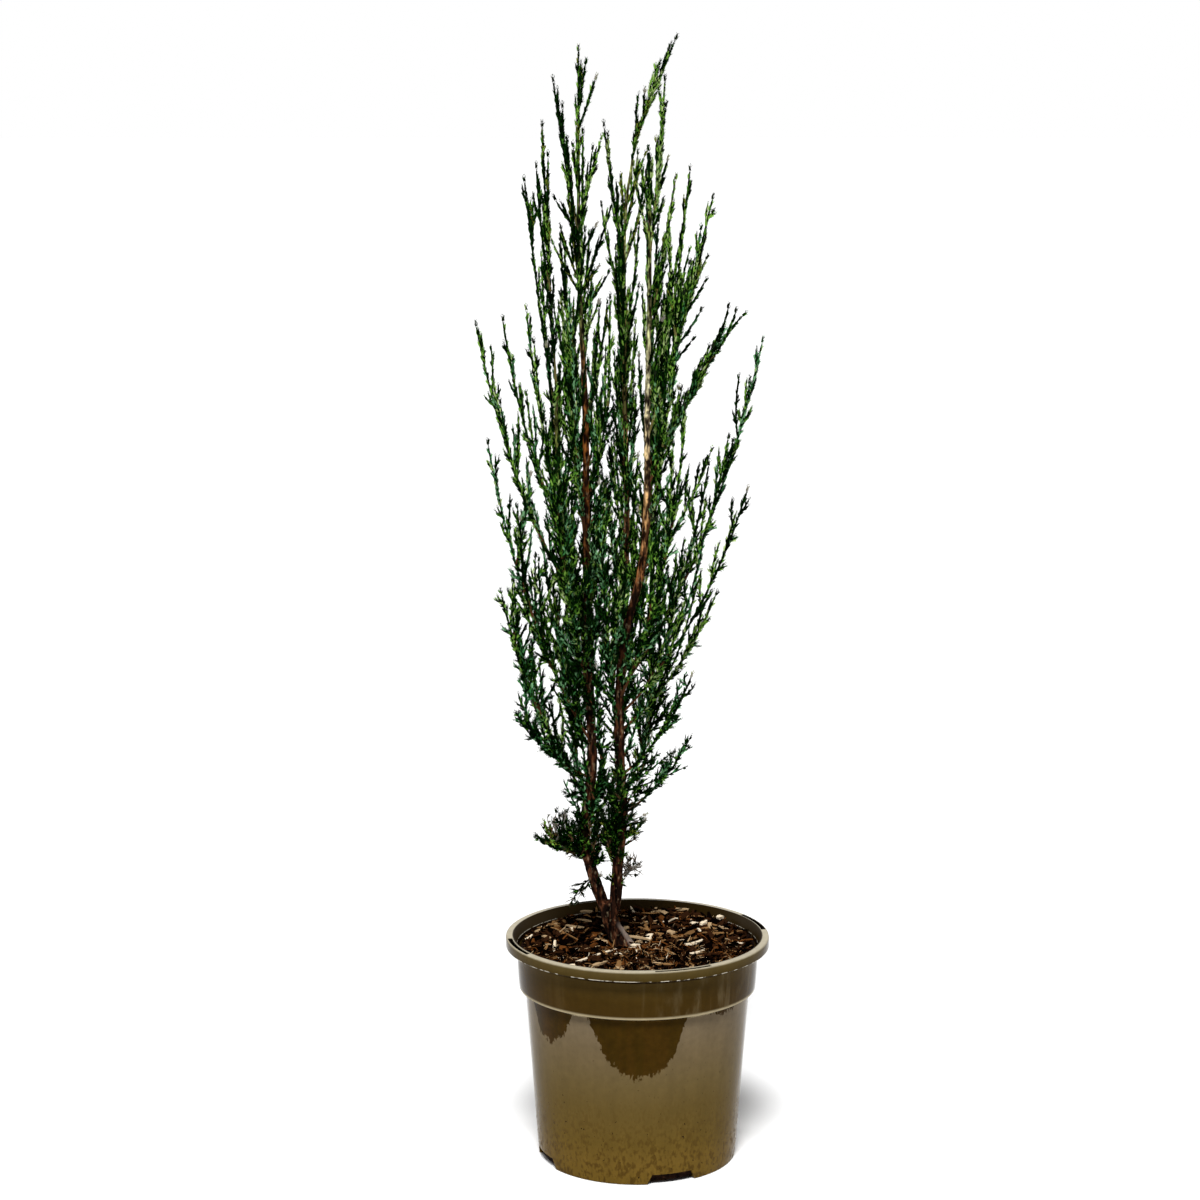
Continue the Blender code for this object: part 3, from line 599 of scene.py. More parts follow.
def plain_material(name, color, roughness=0.6, specular=0.0):
    made = bpy.data.materials.new(name)
    made.use_nodes = True
    shader = made.node_tree.nodes["Principled BSDF"]
    shader.inputs["Base Color"].default_value = (*color, 1.0)
    shader.inputs["Roughness"].default_value = roughness
    shader.inputs["Specular IOR Level"].default_value = specular
    return made


def node_material(name, roughness):
    made = bpy.data.materials.new(name)
    made.use_nodes = True
    shader = made.node_tree.nodes["Principled BSDF"]
    shader.inputs["Roughness"].default_value = roughness
    return made, made.node_tree, shader


def add_node(tree, kind, **inputs):
    node = tree.nodes.new(kind)
    for key, value in inputs.items():
        node.inputs[key.replace("_", " ")].default_value = value
    return node


def color_ramp(tree, stops, factor):
    ramp = tree.nodes.new("ShaderNodeValToRGB")
    elements = ramp.color_ramp.elements
    while len(elements) < len(stops):
        elements.new(0.5)
    for element, (place, color) in zip(elements, stops):
        element.position = place
        element.color = (*color, 1.0)
    tree.links.new(factor, ramp.inputs["Fac"])
    return ramp.outputs["Color"]


def add_bump(tree, shader, height, strength, distance):
    bump = add_node(tree, "ShaderNodeBump", Strength=strength, Distance=distance)
    tree.links.new(height, bump.inputs["Height"])
    tree.links.new(bump.outputs["Normal"], shader.inputs["Normal"])


def stretched_noise(tree, scale, stretch, detail=4.0):
    place = tree.nodes.new("ShaderNodeTexCoord")
    mapping = tree.nodes.new("ShaderNodeMapping")
    mapping.inputs["Scale"].default_value = stretch
    tree.links.new(place.outputs["Object"], mapping.inputs["Vector"])
    made = add_node(tree, "ShaderNodeTexNoise", Scale=scale, Detail=detail)
    tree.links.new(mapping.outputs["Vector"], made.inputs["Vector"])
    return made.outputs["Fac"]


def mixed(tree, kind, factor, first, second):
    """A colour mix node. Factor and colours are sockets or plain values."""
    node = tree.nodes.new("ShaderNodeMix")
    node.data_type = "RGBA"
    node.blend_type = kind
    for socket, value in ((node.inputs[0], factor), (node.inputs[6], first), (node.inputs[7], second)):
        if isinstance(value, bpy.types.NodeSocket):
            tree.links.new(value, socket)
        elif isinstance(value, tuple):
            socket.default_value = (*value, 1.0)
        else:
            socket.default_value = value
    return node.outputs[2]


def number(tree, operation, first, second=0.0, third=0.0):
    """A math node. Its inputs are sockets or plain numbers."""
    node = tree.nodes.new("ShaderNodeMath")
    node.operation = operation
    for socket, value in zip(node.inputs, (first, second, third)):
        if isinstance(value, bpy.types.NodeSocket):
            tree.links.new(value, socket)
        else:
            socket.default_value = value
    return node.outputs[0]


def ranged(tree, value, low, high, smooth=True):
    """Value mapped to 0 at low and 1 at high, which may be the lower number."""
    node = add_node(tree, "ShaderNodeMapRange", From_Min=low, From_Max=high)
    node.interpolation_type = "SMOOTHSTEP" if smooth else "LINEAR"
    tree.links.new(value, node.inputs["Value"])
    return node.outputs["Result"]


def coordinates(tree):
    place = tree.nodes.new("ShaderNodeTexCoord")
    split = tree.nodes.new("ShaderNodeSeparateXYZ")
    tree.links.new(place.outputs["Object"], split.inputs["Vector"])
    return split.outputs["X"], split.outputs["Y"], split.outputs["Z"]


def bark_material(name, bands):
    """Shredding bark: long fibres, in colours that change up the limb."""
    made, tree, shader = node_material(name, 0.85)
    x, _, z = coordinates(tree)
    base = color_ramp(tree, [(height / 1000.0, color) for height, color in bands], z)
    fibres = stretched_noise(tree, 330.0, (1.0, 1.0, 0.24), 6.0)
    patches = stretched_noise(tree, 250.0, (1.0, 1.0, 0.55), 5.0)
    shades = color_ramp(tree, BARK_SHADES, fibres)
    color = mixed(tree, "MULTIPLY", 1.0, base, shades)
    pale = number(tree, "MULTIPLY", ranged(tree, patches, 0.58, 0.70), 0.5)
    color = mixed(tree, "MIX", pale, color, BARK_PALE)
    dark = number(tree, "MULTIPLY", ranged(tree, patches, 0.50, 0.40), 0.85)
    color = mixed(tree, "MIX", dark, color, BARK_DARK)
    if name == "bark_trunk":
        aside = number(tree, "MULTIPLY_ADD", z, FOOT_STRIP_LEAN, x)
        strip = number(tree, "MULTIPLY", ranged(tree, aside, 0.1215, 0.1245), ranged(tree, z, 0.234, 0.224))
        strip = number(tree, "MULTIPLY", strip, number(tree, "MULTIPLY_ADD", fibres, 0.8, 0.20))
        color = mixed(tree, "MIX", strip, color, FOOT_STRIP)
    tree.links.new(color, shader.inputs["Base Color"])
    shader.inputs["Specular IOR Level"].default_value = 0.02
    add_bump(tree, shader, fibres, 0.9, 1.1 * MM)
    return made


def pot_material():
    """Glossy taupe plastic, with wet patches below the collar, streaks, splashed dirt and specks; painted light on
    the collar's upper part, painted shade in a band under the rim, inside the rim and in the slots, and a painted
    highlight under the rim.
    """
    made, tree, shader = node_material("pot_plastic", 0.2)
    x, y, z = coordinates(tree)
    turn = number(tree, "ARCTAN2", x, number(tree, "MULTIPLY", y, -1.0))
    share = number(tree, "MULTIPLY_ADD", turn, 1.0 / math.tau, 0.5)
    radius = number(tree, "SQRT", number(tree, "ADD", number(tree, "MULTIPLY", x, x), number(tree, "MULTIPLY", y, y)))
    cloud = stretched_noise(tree, 22.0, (1.0, 1.0, 0.8), 3.0)
    grain = stretched_noise(tree, 150.0, (1.0, 1.0, 1.0), 5.0)
    fine = stretched_noise(tree, 420.0, (1.0, 1.0, 0.5), 3.0)
    streaks = stretched_noise(tree, 95.0, (1.0, 1.0, 0.035), 3.0)

    base = color_ramp(tree, [(height * MM / POT_HEIGHT, color) for height, color in POT_BANDS],
                      number(tree, "DIVIDE", z, POT_HEIGHT))
    base = mixed(tree, "OVERLAY", 0.35, base, color_ramp(tree, ((0.3, (0.42,) * 3), (0.7, (0.58,) * 3)), cloud))
    base = mixed(tree, "OVERLAY", 0.45, base, color_ramp(tree, ((0.3, (0.42,) * 3), (0.7, (0.58,) * 3)), grain))
    base = mixed(tree, "OVERLAY", 0.40, base, color_ramp(tree, ((0.3, (0.42,) * 3), (0.7, (0.58,) * 3)), streaks))

    edge = color_ramp(tree, [(0.5 + turn / 360.0, (height / 200.0,) * 3) for turn, height in WET_EDGE], share)
    ragged = number(tree, "MULTIPLY_ADD", number(tree, "SUBTRACT", grain, 0.5), 0.060, edge)
    ragged = number(tree, "MULTIPLY_ADD", number(tree, "SUBTRACT", fine, 0.5), 0.085, ragged)
    above = number(tree, "SUBTRACT", number(tree, "MULTIPLY", z, 5.0), ragged)
    below_collar = ranged(tree, z, 0.1695, 0.1690)
    wet = number(tree, "MULTIPLY", ranged(tree, above, 0.0, 0.012), below_collar)
    wet_color = mixed(tree, "MIX", ranged(tree, streaks, 0.40, 0.62), POT_WET, POT_WET_RED)
    wet_color = mixed(tree, "OVERLAY", 0.50, wet_color, color_ramp(tree, ((0.3, (0.32,) * 3), (0.7, (0.66,) * 3)), grain))
    wet_color = mixed(tree, "OVERLAY", 0.40, wet_color, color_ramp(tree, ((0.3, (0.36,) * 3), (0.7, (0.62,) * 3)), cloud))
    color = mixed(tree, "MIX", wet, base, wet_color)

    on_collar = number(tree, "MULTIPLY", ranged(tree, z, 0.170, 0.172), ranged(tree, z, 0.2105, 0.2095))
    scuffs = stretched_noise(tree, 60.0, (1.0, 1.0, 0.35), 6.0)
    on_right = number(tree, "MULTIPLY", on_collar, ranged(tree, x, -0.03, 0.06))
    streak = number(tree, "MULTIPLY", ranged(tree, streaks, 0.54, 0.70), on_collar)
    streak = number(tree, "MULTIPLY", streak, ranged(tree, x, -0.11, 0.03))
    color = mixed(tree, "MIX", number(tree, "MULTIPLY", streak, 0.40), color, POT_STREAK)
    scuff = number(tree, "MULTIPLY", ranged(tree, scuffs, 0.50, 0.72), on_right)
    color = mixed(tree, "MIX", number(tree, "MULTIPLY", scuff, 0.55), color, POT_STREAK)

    splashes = number(tree, "MULTIPLY_ADD", grain, 0.55, number(tree, "MULTIPLY", fine, 0.45))
    dirt = number(tree, "MULTIPLY", ranged(tree, z, 0.110, 0.0), ranged(tree, splashes, 0.47, 0.60))
    color = mixed(tree, "MIX", number(tree, "MULTIPLY", dirt, 0.75), color, POT_DIRT)
    specks = stretched_noise(tree, 420.0, (1.0, 1.0, 0.8), 1.0)
    speck = number(tree, "MULTIPLY", ranged(tree, specks, 0.735, 0.76), ranged(tree, z, 0.19, 0.02))
    color = mixed(tree, "MIX", speck, color, POT_SPECK)

    glint = number(tree, "MULTIPLY", ranged(tree, z, 0.2096, 0.2101), ranged(tree, z, 0.2111, 0.2105))
    glint = number(tree, "MULTIPLY", glint, ranged(tree, grain, 0.46, 0.56))
    color = mixed(tree, "MIX", glint, color, POT_RIM_GLINT)
    # Painted shade: the pot's inner face near the top is darkened
    inside = number(tree, "MULTIPLY", ranged(tree, radius, 0.1215, 0.1205), ranged(tree, z, 0.2095, 0.2105))
    color = mixed(tree, "MIX", inside, color, POT_INSIDE_SHADE)
    # Painted shade: the slots in the rim are near-black
    in_slot = number(tree, "MULTIPLY", ranged(tree, radius, 0.1213, 0.1216), ranged(tree, radius, 0.1266, 0.1263))
    in_slot = number(tree, "MULTIPLY", in_slot, ranged(tree, z, 0.2192, 0.2188))
    color = mixed(tree, "MIX", in_slot, color, POT_SLOT_SHADE)
    tree.links.new(color, shader.inputs["Base Color"])
    rough = number(tree, "MULTIPLY_ADD", cloud, 0.10, 0.09)
    rough = number(tree, "MULTIPLY_ADD", dirt, 0.35, rough)
    rough = number(tree, "SUBTRACT", rough, number(tree, "MULTIPLY", wet, 0.03))
    rough = number(tree, "SUBTRACT", rough, number(tree, "MULTIPLY", on_collar, 0.06))
    rough = number(tree, "MULTIPLY_ADD", inside, 0.3, rough)
    tree.links.new(rough, shader.inputs["Roughness"])
    shader.inputs["Specular IOR Level"].default_value = 0.03
    shader.inputs["Specular Tint"].default_value = (*POT_GLOSS, 1.0)
    add_bump(tree, shader, stretched_noise(tree, 30.0, (1.0, 1.0, 0.25), 2.0), 0.10, 1.0 * MM)
    return made


def soil_material():
    made, tree, shader = node_material("soil", 0.95)
    grain = stretched_noise(tree, 180.0, (1.0, 1.0, 1.0))
    stops = ((0.35, (0.002, 0.001, 0.001)), (0.60, (0.012, 0.005, 0.003)), (0.75, (0.050, 0.022, 0.009)))
    tree.links.new(color_ramp(tree, stops, grain), shader.inputs["Base Color"])
    shader.inputs["Specular IOR Level"].default_value = 0.02
    add_bump(tree, shader, grain, 0.8, 1.5 * MM)
    return made


# Meshes


def triangle_mesh(name, verts, tris, materials, indices=None, smooth=False):
    mesh = bpy.data.meshes.new(name)
    mesh.vertices.add(len(verts))
    mesh.vertices.foreach_set("co", np.ascontiguousarray(verts, dtype=np.float32).ravel())
    mesh.loops.add(3 * len(tris))
    mesh.loops.foreach_set("vertex_index", np.ascontiguousarray(tris, dtype=np.int32).ravel())
    mesh.polygons.add(len(tris))
    mesh.polygons.foreach_set("loop_start", np.arange(0, 3 * len(tris), 3, dtype=np.int32))
    if indices is not None:
        mesh.polygons.foreach_set("material_index", np.asarray(indices, dtype=np.int32))
    mesh.polygons.foreach_set("use_smooth", np.full(len(tris), smooth))
    for one in materials:
        mesh.materials.append(one)
    mesh.update()
    mesh.validate()
    piece = bpy.data.objects.new(name, mesh)
    bpy.context.scene.collection.objects.link(piece)
    return piece


def sweep_frames(points):
    """Heading and two cross directions at each point of every row of points."""
    heading = unit(np.gradient(points, axis=1))
    guide = np.where(np.abs(heading[:, 0, 1:2]) < 0.8, [[0.0, 1.0, 0.0]], [[1.0, 0.0, 0.0]])
    current = unit(np.cross(heading[:, 0], guide))
    across = np.zeros_like(points)
    for index in range(points.shape[1]):
        along = heading[:, index]
        current = unit(current - along * (current * along).sum(-1, keepdims=True))
        across[:, index] = current
    return heading, across, np.cross(heading, across)


def tube_rows(points, radii, sides):
    """Verts and triangles of a tube along each row of points. Its last point is its tip."""
    rows, count = points.shape[:2]
    _, u, v = sweep_frames(points)
    turns = np.arange(sides) * math.tau / sides
    cos, sin = np.cos(turns)[None, None, :, None], np.sin(turns)[None, None, :, None]
    ring = cos * u[:, :-1, None] + sin * v[:, :-1, None]
    wall = points[:, :-1, None] + ring * radii[:, :-1, None, None]
    verts = np.concatenate((wall.reshape(rows, -1, 3), points[:, -1:]), axis=1)
    place = np.arange((count - 1) * sides).reshape(count - 1, sides)
    a = place[:-1]
    b = np.roll(place, -1, axis=1)[:-1]
    c = np.roll(place, -1, axis=1)[1:]
    d = place[1:]
    last = place[-1]
    cap = np.stack((last, np.roll(last, -1), np.full(sides, (count - 1) * sides)), axis=-1)
    pattern = np.concatenate((np.stack((a, b, c), -1).reshape(-1, 3), np.stack((a, c, d), -1).reshape(-1, 3), cap))
    first = np.arange(rows)[:, None, None] * verts.shape[1]
    return verts.reshape(-1, 3), first + pattern


def leaf_rows(points, radii, phases, step, length):
    """Scale leaves, folded along a keel, in crossed pairs along each row of points. There is one
    length for each point along a row."""
    rows, count = points.shape[:2]
    heading, u, v = sweep_frames(points)
    corners = []
    for turn in (0.0, math.pi):
        angle = phases[:, None] + np.arange(count) % 2 * (0.5 * math.pi) + turn
        cos, sin = np.cos(angle)[..., None], np.sin(angle)[..., None]
        out = cos * u + sin * v
        side = cos * v - sin * u
        r = radii[..., None]
        left = points + r * (0.40 * out + 0.95 * side) - heading * 0.20 * step
        right = points + r * (0.40 * out - 0.95 * side) - heading * 0.20 * step
        keel = points + 1.25 * r * out + heading * 0.45 * length[:, None]
        tip = points + 1.30 * r * out + heading * length[:, None]
        corners.append(np.stack((left, right, keel, tip), axis=2))
    verts = np.stack(corners, axis=2).reshape(-1, 3)
    first = np.arange(rows * count * 2).reshape(rows, -1, 1, 1) * 4
    pattern = np.array(((0, 2, 3), (2, 1, 3)))
    return verts, (first + pattern).reshape(rows, -1, 3)


def resampled(line, step):
    lengths = np.concatenate(([0.0], np.cumsum(np.linalg.norm(np.diff(line, axis=0), axis=1))))
    count = max(3, int(round(lengths[-1] / step)) + 1)
    wanted = np.linspace(0.0, lengths[-1], count)
    return np.stack([np.interp(wanted, lengths, line[:, axis]) for axis in range(3)], axis=1)


# Lines


def catmull_rom(points, steps=200):
    points = np.asarray(points, dtype=float)
    ends = np.vstack((2 * points[0] - points[1], points, 2 * points[-1] - points[-2]))
    place = np.linspace(0, len(points) - 1, steps + 1)
    first = np.minimum(place.astype(int), len(points) - 2)
    t = (place - first)[:, None]
    a, b, c, d = (ends[first + shift] for shift in range(4))
    even = 2 * b + (c - a) * t + (2 * a - 5 * b + 4 * c - d) * t**2
    return 0.5 * even + 0.5 * (3 * b - a - 3 * c + d) * t**3


def shoot_line(start, tip, steps=60, outs=SHOOT_OUT, ups=SHOOT_UP):
    """A shoot's curve, which goes out first and then turns up."""
    across = np.array((tip[0] - start[0], tip[1] - start[1], 0.0))
    rise = np.array((0.0, 0.0, tip[2] - start[2]))
    inner = [start + across * out + rise * up for out, up in zip(outs, ups)]
    t = np.linspace(0.0, 1.0, steps + 1)[:, None]
    line = start * (1 - t) ** 3 + inner[0] * 3 * t * (1 - t) ** 2
    return line + inner[1] * 3 * t**2 * (1 - t) + tip * t**3


def point_at_height(line, height):
    index = int(np.searchsorted(line[:, 2], height))
    return line[min(index, len(line) - 1)]


STEM_LINES = {stem.name: catmull_rom(np.array(stem.waypoints) * MM) for stem in STEMS}
SPINE_MASSES = {"left": "leader_left", "middle": "leader_middle", "right": "leader_right"}


def make_spines():
    """The main line of each mass, and of each stem with its leader on top."""
    spines = {}
    for mass in MASSES:
        stem = STEM_LINES[mass.stem]
        start = point_at_height(stem, mass.height * MM)
        tip = np.array(mass.tip) * MM
        if mass.name.startswith("leader"):
            heading = unit(stem[-1] - stem[-8])
            reach = np.linalg.norm(tip - start)
            t = np.linspace(0, 1, 61)[:, None]
            inner = (start + heading * 0.35 * reach, tip + (start - tip) * 0.35)
            line = start * (1 - t) ** 3 + inner[0] * 3 * t * (1 - t) ** 2
            spines[mass.name] = line + inner[1] * 3 * t**2 * (1 - t) + tip * t**3
        else:
            straight = mass.height >= STRAIGHT_FROM
            shape = (STRAIGHT_OUT, STRAIGHT_UP) if straight else (SHOOT_OUT, SHOOT_UP)
            if mass.name == OUTWARD_MASS:
                shape = (OUTWARD_OUT, OUTWARD_UP)
            spines[mass.name] = shoot_line(start, tip, 60, *shape)
    for side, mass_name in SPINE_MASSES.items():
        spines[side] = np.vstack((STEM_LINES[f"stem_{side}"][:-1], spines[mass_name]))
    spines["stem_left_branch"] = STEM_LINES["stem_left_branch"]
    return spines


# Growth

Cord = namedtuple("Cord", "line level color")


def style_at(height):
    """0 at the crown's foot, to 1 at its top."""
    return np.clip((height - CROWN_FOOT) / (CROWN_TOP - CROWN_FOOT), 0.0, 1.0)


def styled(pair, height):
    return pair[0] + (pair[1] - pair[0]) * style_at(height)


def curved(start, first, last, length):
    t = np.linspace(0.0, 1.0, max(3, int(round(length / LEAF_STEP)) + 1))[:, None]
    return start + length * (first * t + (last - first) * t**2 / 2)


def leaning(along, out, angle):
    return unit(along * math.cos(angle) + out * math.sin(angle))


def side_cord(dice, start, along, out, length, leaves, ends):
    """A cord that leaves at an angle and then bends to run beside what it grew from."""
    height = start[2]
    first = leaning(along, out, math.radians(styled(leaves, height)) * dice.uniform(0.75, 1.3))
    last = leaning(along, out, math.radians(styled(ends, height)) * dice.uniform(0.4, 1.6))
    return curved(start, first, unit(last + (0.0, 0.0, styled(UPWARD_BEND, height))), length)


def hides_bark(dice, line):
    """Whether a cord is left out because it would grow in front of a stem that is open to the front."""
    camera = np.array(CAMERA_PLACE)
    chance = dice.random()
    for stem, low, high, half, left_out in OPEN_STRETCHES:
        stem_line = STEM_LINES[stem]
        depth = np.interp(line[:, 2], stem_line[:, 2], stem_line[:, 1])
        share = (depth - camera[1]) / (line[:, 1] - camera[1])
        seen = camera + (line - camera) * share[:, None]
        aside = np.abs(seen[:, 0] - np.interp(seen[:, 2], stem_line[:, 2], stem_line[:, 0]))
        height = seen[:, 2] / MM
        hidden = (line[:, 1] < depth) & (aside < half * MM) & (height > low) & (height < high)
        if hidden.sum() > 1 and chance < left_out:
            return True
    return False


def grow_sides(dice, line, level, color, cords):
    """Short cords to both sides of a lateral, shorter towards its tip."""
    heading = unit(np.gradient(line, axis=0))
    length = len(line) * LEAF_STEP
    height = line[0, 2]
    normal = unit(dice.normal(0, 1, 3))
    place = 0.25 * length
    turn = 1
    while place < 0.75 * length:
        index = min(len(line) - 1, int(place / LEAF_STEP))
        along = heading[index]
        out = np.cross(along, normal) * turn + dice.normal(0, 0.35, 3)
        out = unit(out - along * out.dot(along))
        size = min(styled(SIDE_LENGTH, height) * dice.uniform(0.6, 1.5), 0.6 * (length - place) + 3 * MM)
        cord = side_cord(dice, line[index], along, out, size, SIDE_LEAVES, SIDE_ENDS)
        if not hides_bark(dice, cord):
            cords.append(Cord(cord, level, color))
        turn = -turn
        place += styled(SIDE_STEP, height) * dice.uniform(0.7, 1.4)


def grow_shoot(dice, line, bare, palette, cords, twigs, reach=1.0):
    """A shoot: a woody foot, then laterals that run along it, then its own green tip."""
    fine = FINE_FROM < line[-1, 2] < FINE_BELOW and line[-1, 0] > 0.0 or line[-1, 2] < HANGING_BELOW
    levels = (FINE, FINE, FINE, FINE) if fine else (0, 1, 2, BLUNT)
    line = resampled(line, LEAF_STEP)
    heading = unit(np.gradient(line, axis=0))
    count = len(line)
    if count < SHORTEST:
        return
    length = count * LEAF_STEP
    color = palette[int(dice.integers(len(palette)))]
    woody = int(count * bare)
    if woody > 2:
        twigs.append(Cord(line[: woody + 4], 0, 0 if line[0, 2] < TWIG_GREENS_AT else 1))
    tip = min(count - 3, count - int(TIP_LENGTH / LEAF_STEP))
    tip_color = color if dice.random() < 0.35 else (TIP_PALE if dice.random() < 0.15 else TIP_DARK)
    cords.append(Cord(line[max(0, woody - 2) : tip + 1], levels[0], color))
    cords.append(Cord(line[tip:], levels[3], tip_color))
    guide = unit(dice.normal(0, 1, 3))
    turn = dice.uniform(0, math.tau)
    place = max(0.06, 0.6 * bare) * length
    clear = min(0.45 * length, styled(CLEAR_TIP, line[-1, 2]))
    while place < length - clear:
        index = int(place / LEAF_STEP)
        along = heading[index]
        across = unit(guide - along * guide.dot(along))
        out = across * math.cos(turn) + np.cross(along, across) * math.sin(turn)
        size = reach * styled(LATERAL_REACH, line[index, 2]) * dice.uniform(0.35, 1.25)
        size *= min(1.5, max(0.3, 1.0 + UPPER_SIDE_GAIN * out[2]))
        size = min(size, 0.6 * (length - place) + 3 * MM)
        color = palette[int(dice.integers(len(palette)))]
        lateral = side_cord(dice, line[index], along, out, size, LATERAL_LEAVES, LATERAL_ENDS)
        if not hides_bark(dice, lateral):
            cords.append(Cord(lateral, levels[1], color))
            grow_sides(dice, lateral, levels[2], color, cords)
        turn += math.radians(dice.normal(137.5, 15))
        place += styled(LATERAL_STEP, line[index, 2]) * dice.uniform(0.6, 1.4)


def palette_for(name, height):
    """Foliage colours, repeated by how common they are."""
    if "grey" in name:
        return [GREY_DEAD, GREY_DEAD, GREY_DEAD, BROWN_DEAD]
    if name == "left_hanging_twig":
        return [CORE, TIP_DARK, DEEP, BROWN_DEAD]
    if "skirt" in name or height < FOOT_BELOW:
        return [DEEP, CORE, DEEP, CORE, MID, DEEP, OLIVE, DEEP, BROWN_DEAD]
    if name in ("leader_middle", "middle") and height > 0.95:
        return [BRIGHT, PALE, BRIGHT, OLIVE, MID, DEEP]
    if height > 0.85:
        if "right" in name or "middle" in name:
            return [MID, BRIGHT, PALE, CORE, MID, OLIVE, BRIGHT, DEEP, DEEP]
        return [DEEP, CORE, MID, OLIVE, DEEP, CORE, BRIGHT, DEEP]
    if height < 0.50:
        return [DEEP, BLUE, MID, CORE, DEEP, BLUE]
    return [MID, DEEP, BLUE, BRIGHT, BLUE_HIGHLIGHT, MID, DEEP, CORE, BRIGHT, OLIVE if "inner" in name else MID]


def seeded(name):
    return np.random.default_rng([ord(letter) for letter in name])


def grow_mass(mass, spines, twigs):
    dice = seeded(mass.name)
    main = spines[mass.name]
    palette = palette_for(mass.name, mass.tip[2] * MM)
    cords = []
    reach = 0.55 + 0.045 * mass.girth
    leader = mass.name.startswith("leader")
    bare = 0.0 if leader else max(0.14, mass.bough + 0.04)
    grow_shoot(dice, main, bare, palette, cords, twigs, reach)
    if mass.girth < 7 or leader:
        return cords
    length = np.linalg.norm(np.diff(main, axis=0), axis=1).sum()
    for _ in range(max(1, int(round(length / styled(COMPANION_SHARE, mass.tip[2] * MM))))):
        foot = main[int(dice.uniform(0.10, 0.50) * (len(main) - 1))]
        end = main[int(dice.uniform(0.62, 0.90) * (len(main) - 1))]
        end = end + dice.normal(0, 0.6 * mass.girth * MM, 3) * (1, 1, 0.5)
        end = end + (main[0] - end) * (COMPANION_INWARD, COMPANION_INWARD, 0.0)
        line = shoot_line(foot, end)
        if not hides_bark(dice, line):
            grow_shoot(dice, line, 0.12, palette, cords, twigs, 0.85 * reach)
    return cords


def grow_risers(name, count, spines, cords, twigs):
    """Shoots that leave a bough along its length and rise nearly straight up."""
    dice = seeded(f"risers {name}")
    line = spines[name]
    for number in range(count):
        share = RISER_FEET[0] + (RISER_FEET[1] - RISER_FEET[0]) * (number + dice.uniform(0.2, 0.8)) / count
        foot = line[int(share * (len(line) - 1))]
        rise = dice.uniform(*RISER_REACH)
        lean = dice.normal(0.0, RISER_LEAN, 2) * rise
        tip = foot + (lean[0], lean[1], rise)
        shoot = shoot_line(foot, tip)
        if not hides_bark(dice, shoot):
            grow_shoot(dice, shoot, 0.10, palette_for(name, tip[2]), cords, twigs, 0.85)


def grow_filling(filling, spines, cords, twigs):
    """Shoots round a stem or bough, which turn up beside it. Each is in the piece of the nearest mass."""
    dice = seeded(f"filling {filling.spine} {filling.low} {filling.turns[0]}")
    spine = spines[filling.spine]
    stem = filling.spine if filling.spine.startswith("stem") else f"stem_{filling.spine}"
    near = [mass for mass in MASSES if mass.stem == stem or mass.name == filling.spine]
    first, last = (math.radians(turn) for turn in filling.turns)
    share = dice.uniform(0, 1)
    height = filling.low
    while height < filling.high:
        turn = first + (last - first) * share
        foot = point_at_height(spine, height * MM)
        out = dice.uniform(*filling.reach) * MM
        rise = dice.uniform(*filling.rise) * MM
        beside = point_at_height(spine, foot[2] + rise)
        deep = FILLING_DEPTH if foot[2] > FILLING_DEPTH_FROM else 1.0
        aside = (out * math.cos(turn), deep * out * math.sin(turn))
        tip = np.array((beside[0] + aside[0], beside[1] + aside[1], foot[2] + rise))
        owner = min(near, key=lambda mass: abs(mass.height - height))
        palette = palette_for(filling.spine, foot[2])
        line = shoot_line(foot, tip)
        if not hides_bark(dice, line):
            grow_shoot(dice, line, 0.12, palette, cords[owner.name], twigs, 0.8)
        share = (share + 0.382 + dice.normal(0, 0.04)) % 1.0
        height += filling.step * dice.uniform(0.75, 1.25)


def grow_whip(whip, spines, cords, twigs):
    dice = seeded(f"{whip.spine}{whip.foot}")
    spine = spines[whip.spine]
    foot = point_at_height(spine, whip.foot * MM)
    tip = np.array(whip.tip) * MM
    line = shoot_line(foot, tip, outs=(0.38, 0.74), ups=(0.30, 0.68))
    palette = palette_for("grey" if whip.dead else whip.spine, tip[2])
    grow_shoot(dice, line, 0.0, palette, cords, twigs, 0.75 if tip[2] > FINE_BELOW else 0.55)


def grouped(cords):
    """Cords of equal point count and level, together, with the dead ones apart."""
    groups = {}
    for cord in cords:
        dead = cord.color in (GREY_DEAD, BROWN_DEAD)
        groups.setdefault((cord.level, len(cord.line), dead), []).append(cord)
    return [(key[2], groups[key]) for key in sorted(groups)]


def stub_rows(dice, points):
    """Stubby branchlets along each row of points, turning round it."""
    heading, u, v = sweep_frames(points)
    rows, count = points.shape[:2]
    every = STUB_STEP / LEAF_STEP
    number = max(1, int((count - 1.5) / every))
    spots = np.clip(np.arange(number) * every + dice.uniform(0.2, 0.6), 0, count - 1).astype(int)
    height = points[:, spots, 2]
    turn = dice.uniform(0, math.tau, (rows, 1)) + np.arange(number) * math.radians(137.5)
    out = np.cos(turn)[..., None] * u[:, spots] + np.sin(turn)[..., None] * v[:, spots]
    size = styled(STUB_LENGTH, height) * dice.uniform(0.65, 1.3, (rows, number))
    ends = []
    for pair in (STUB_LEAVES, STUB_ENDS):
        angle = np.radians(styled(pair, height)) * dice.uniform(0.75, 1.3, (rows, number))
        angle = angle[..., None]
        ends.append(unit(heading[:, spots] * np.cos(angle) + out * np.sin(angle)))
    t = np.array(STUB_PLACES)[None, None, :, None]
    start = points[:, spots, None] + out[:, :, None] * 0.7 * STUB_RADII[0]
    first, last = ends[0][:, :, None], ends[1][:, :, None]
    lines = start + size[..., None, None] * (first * t + (last - first) * t**2 / 2)
    return lines.reshape(-1, len(STUB_PLACES), 3), number


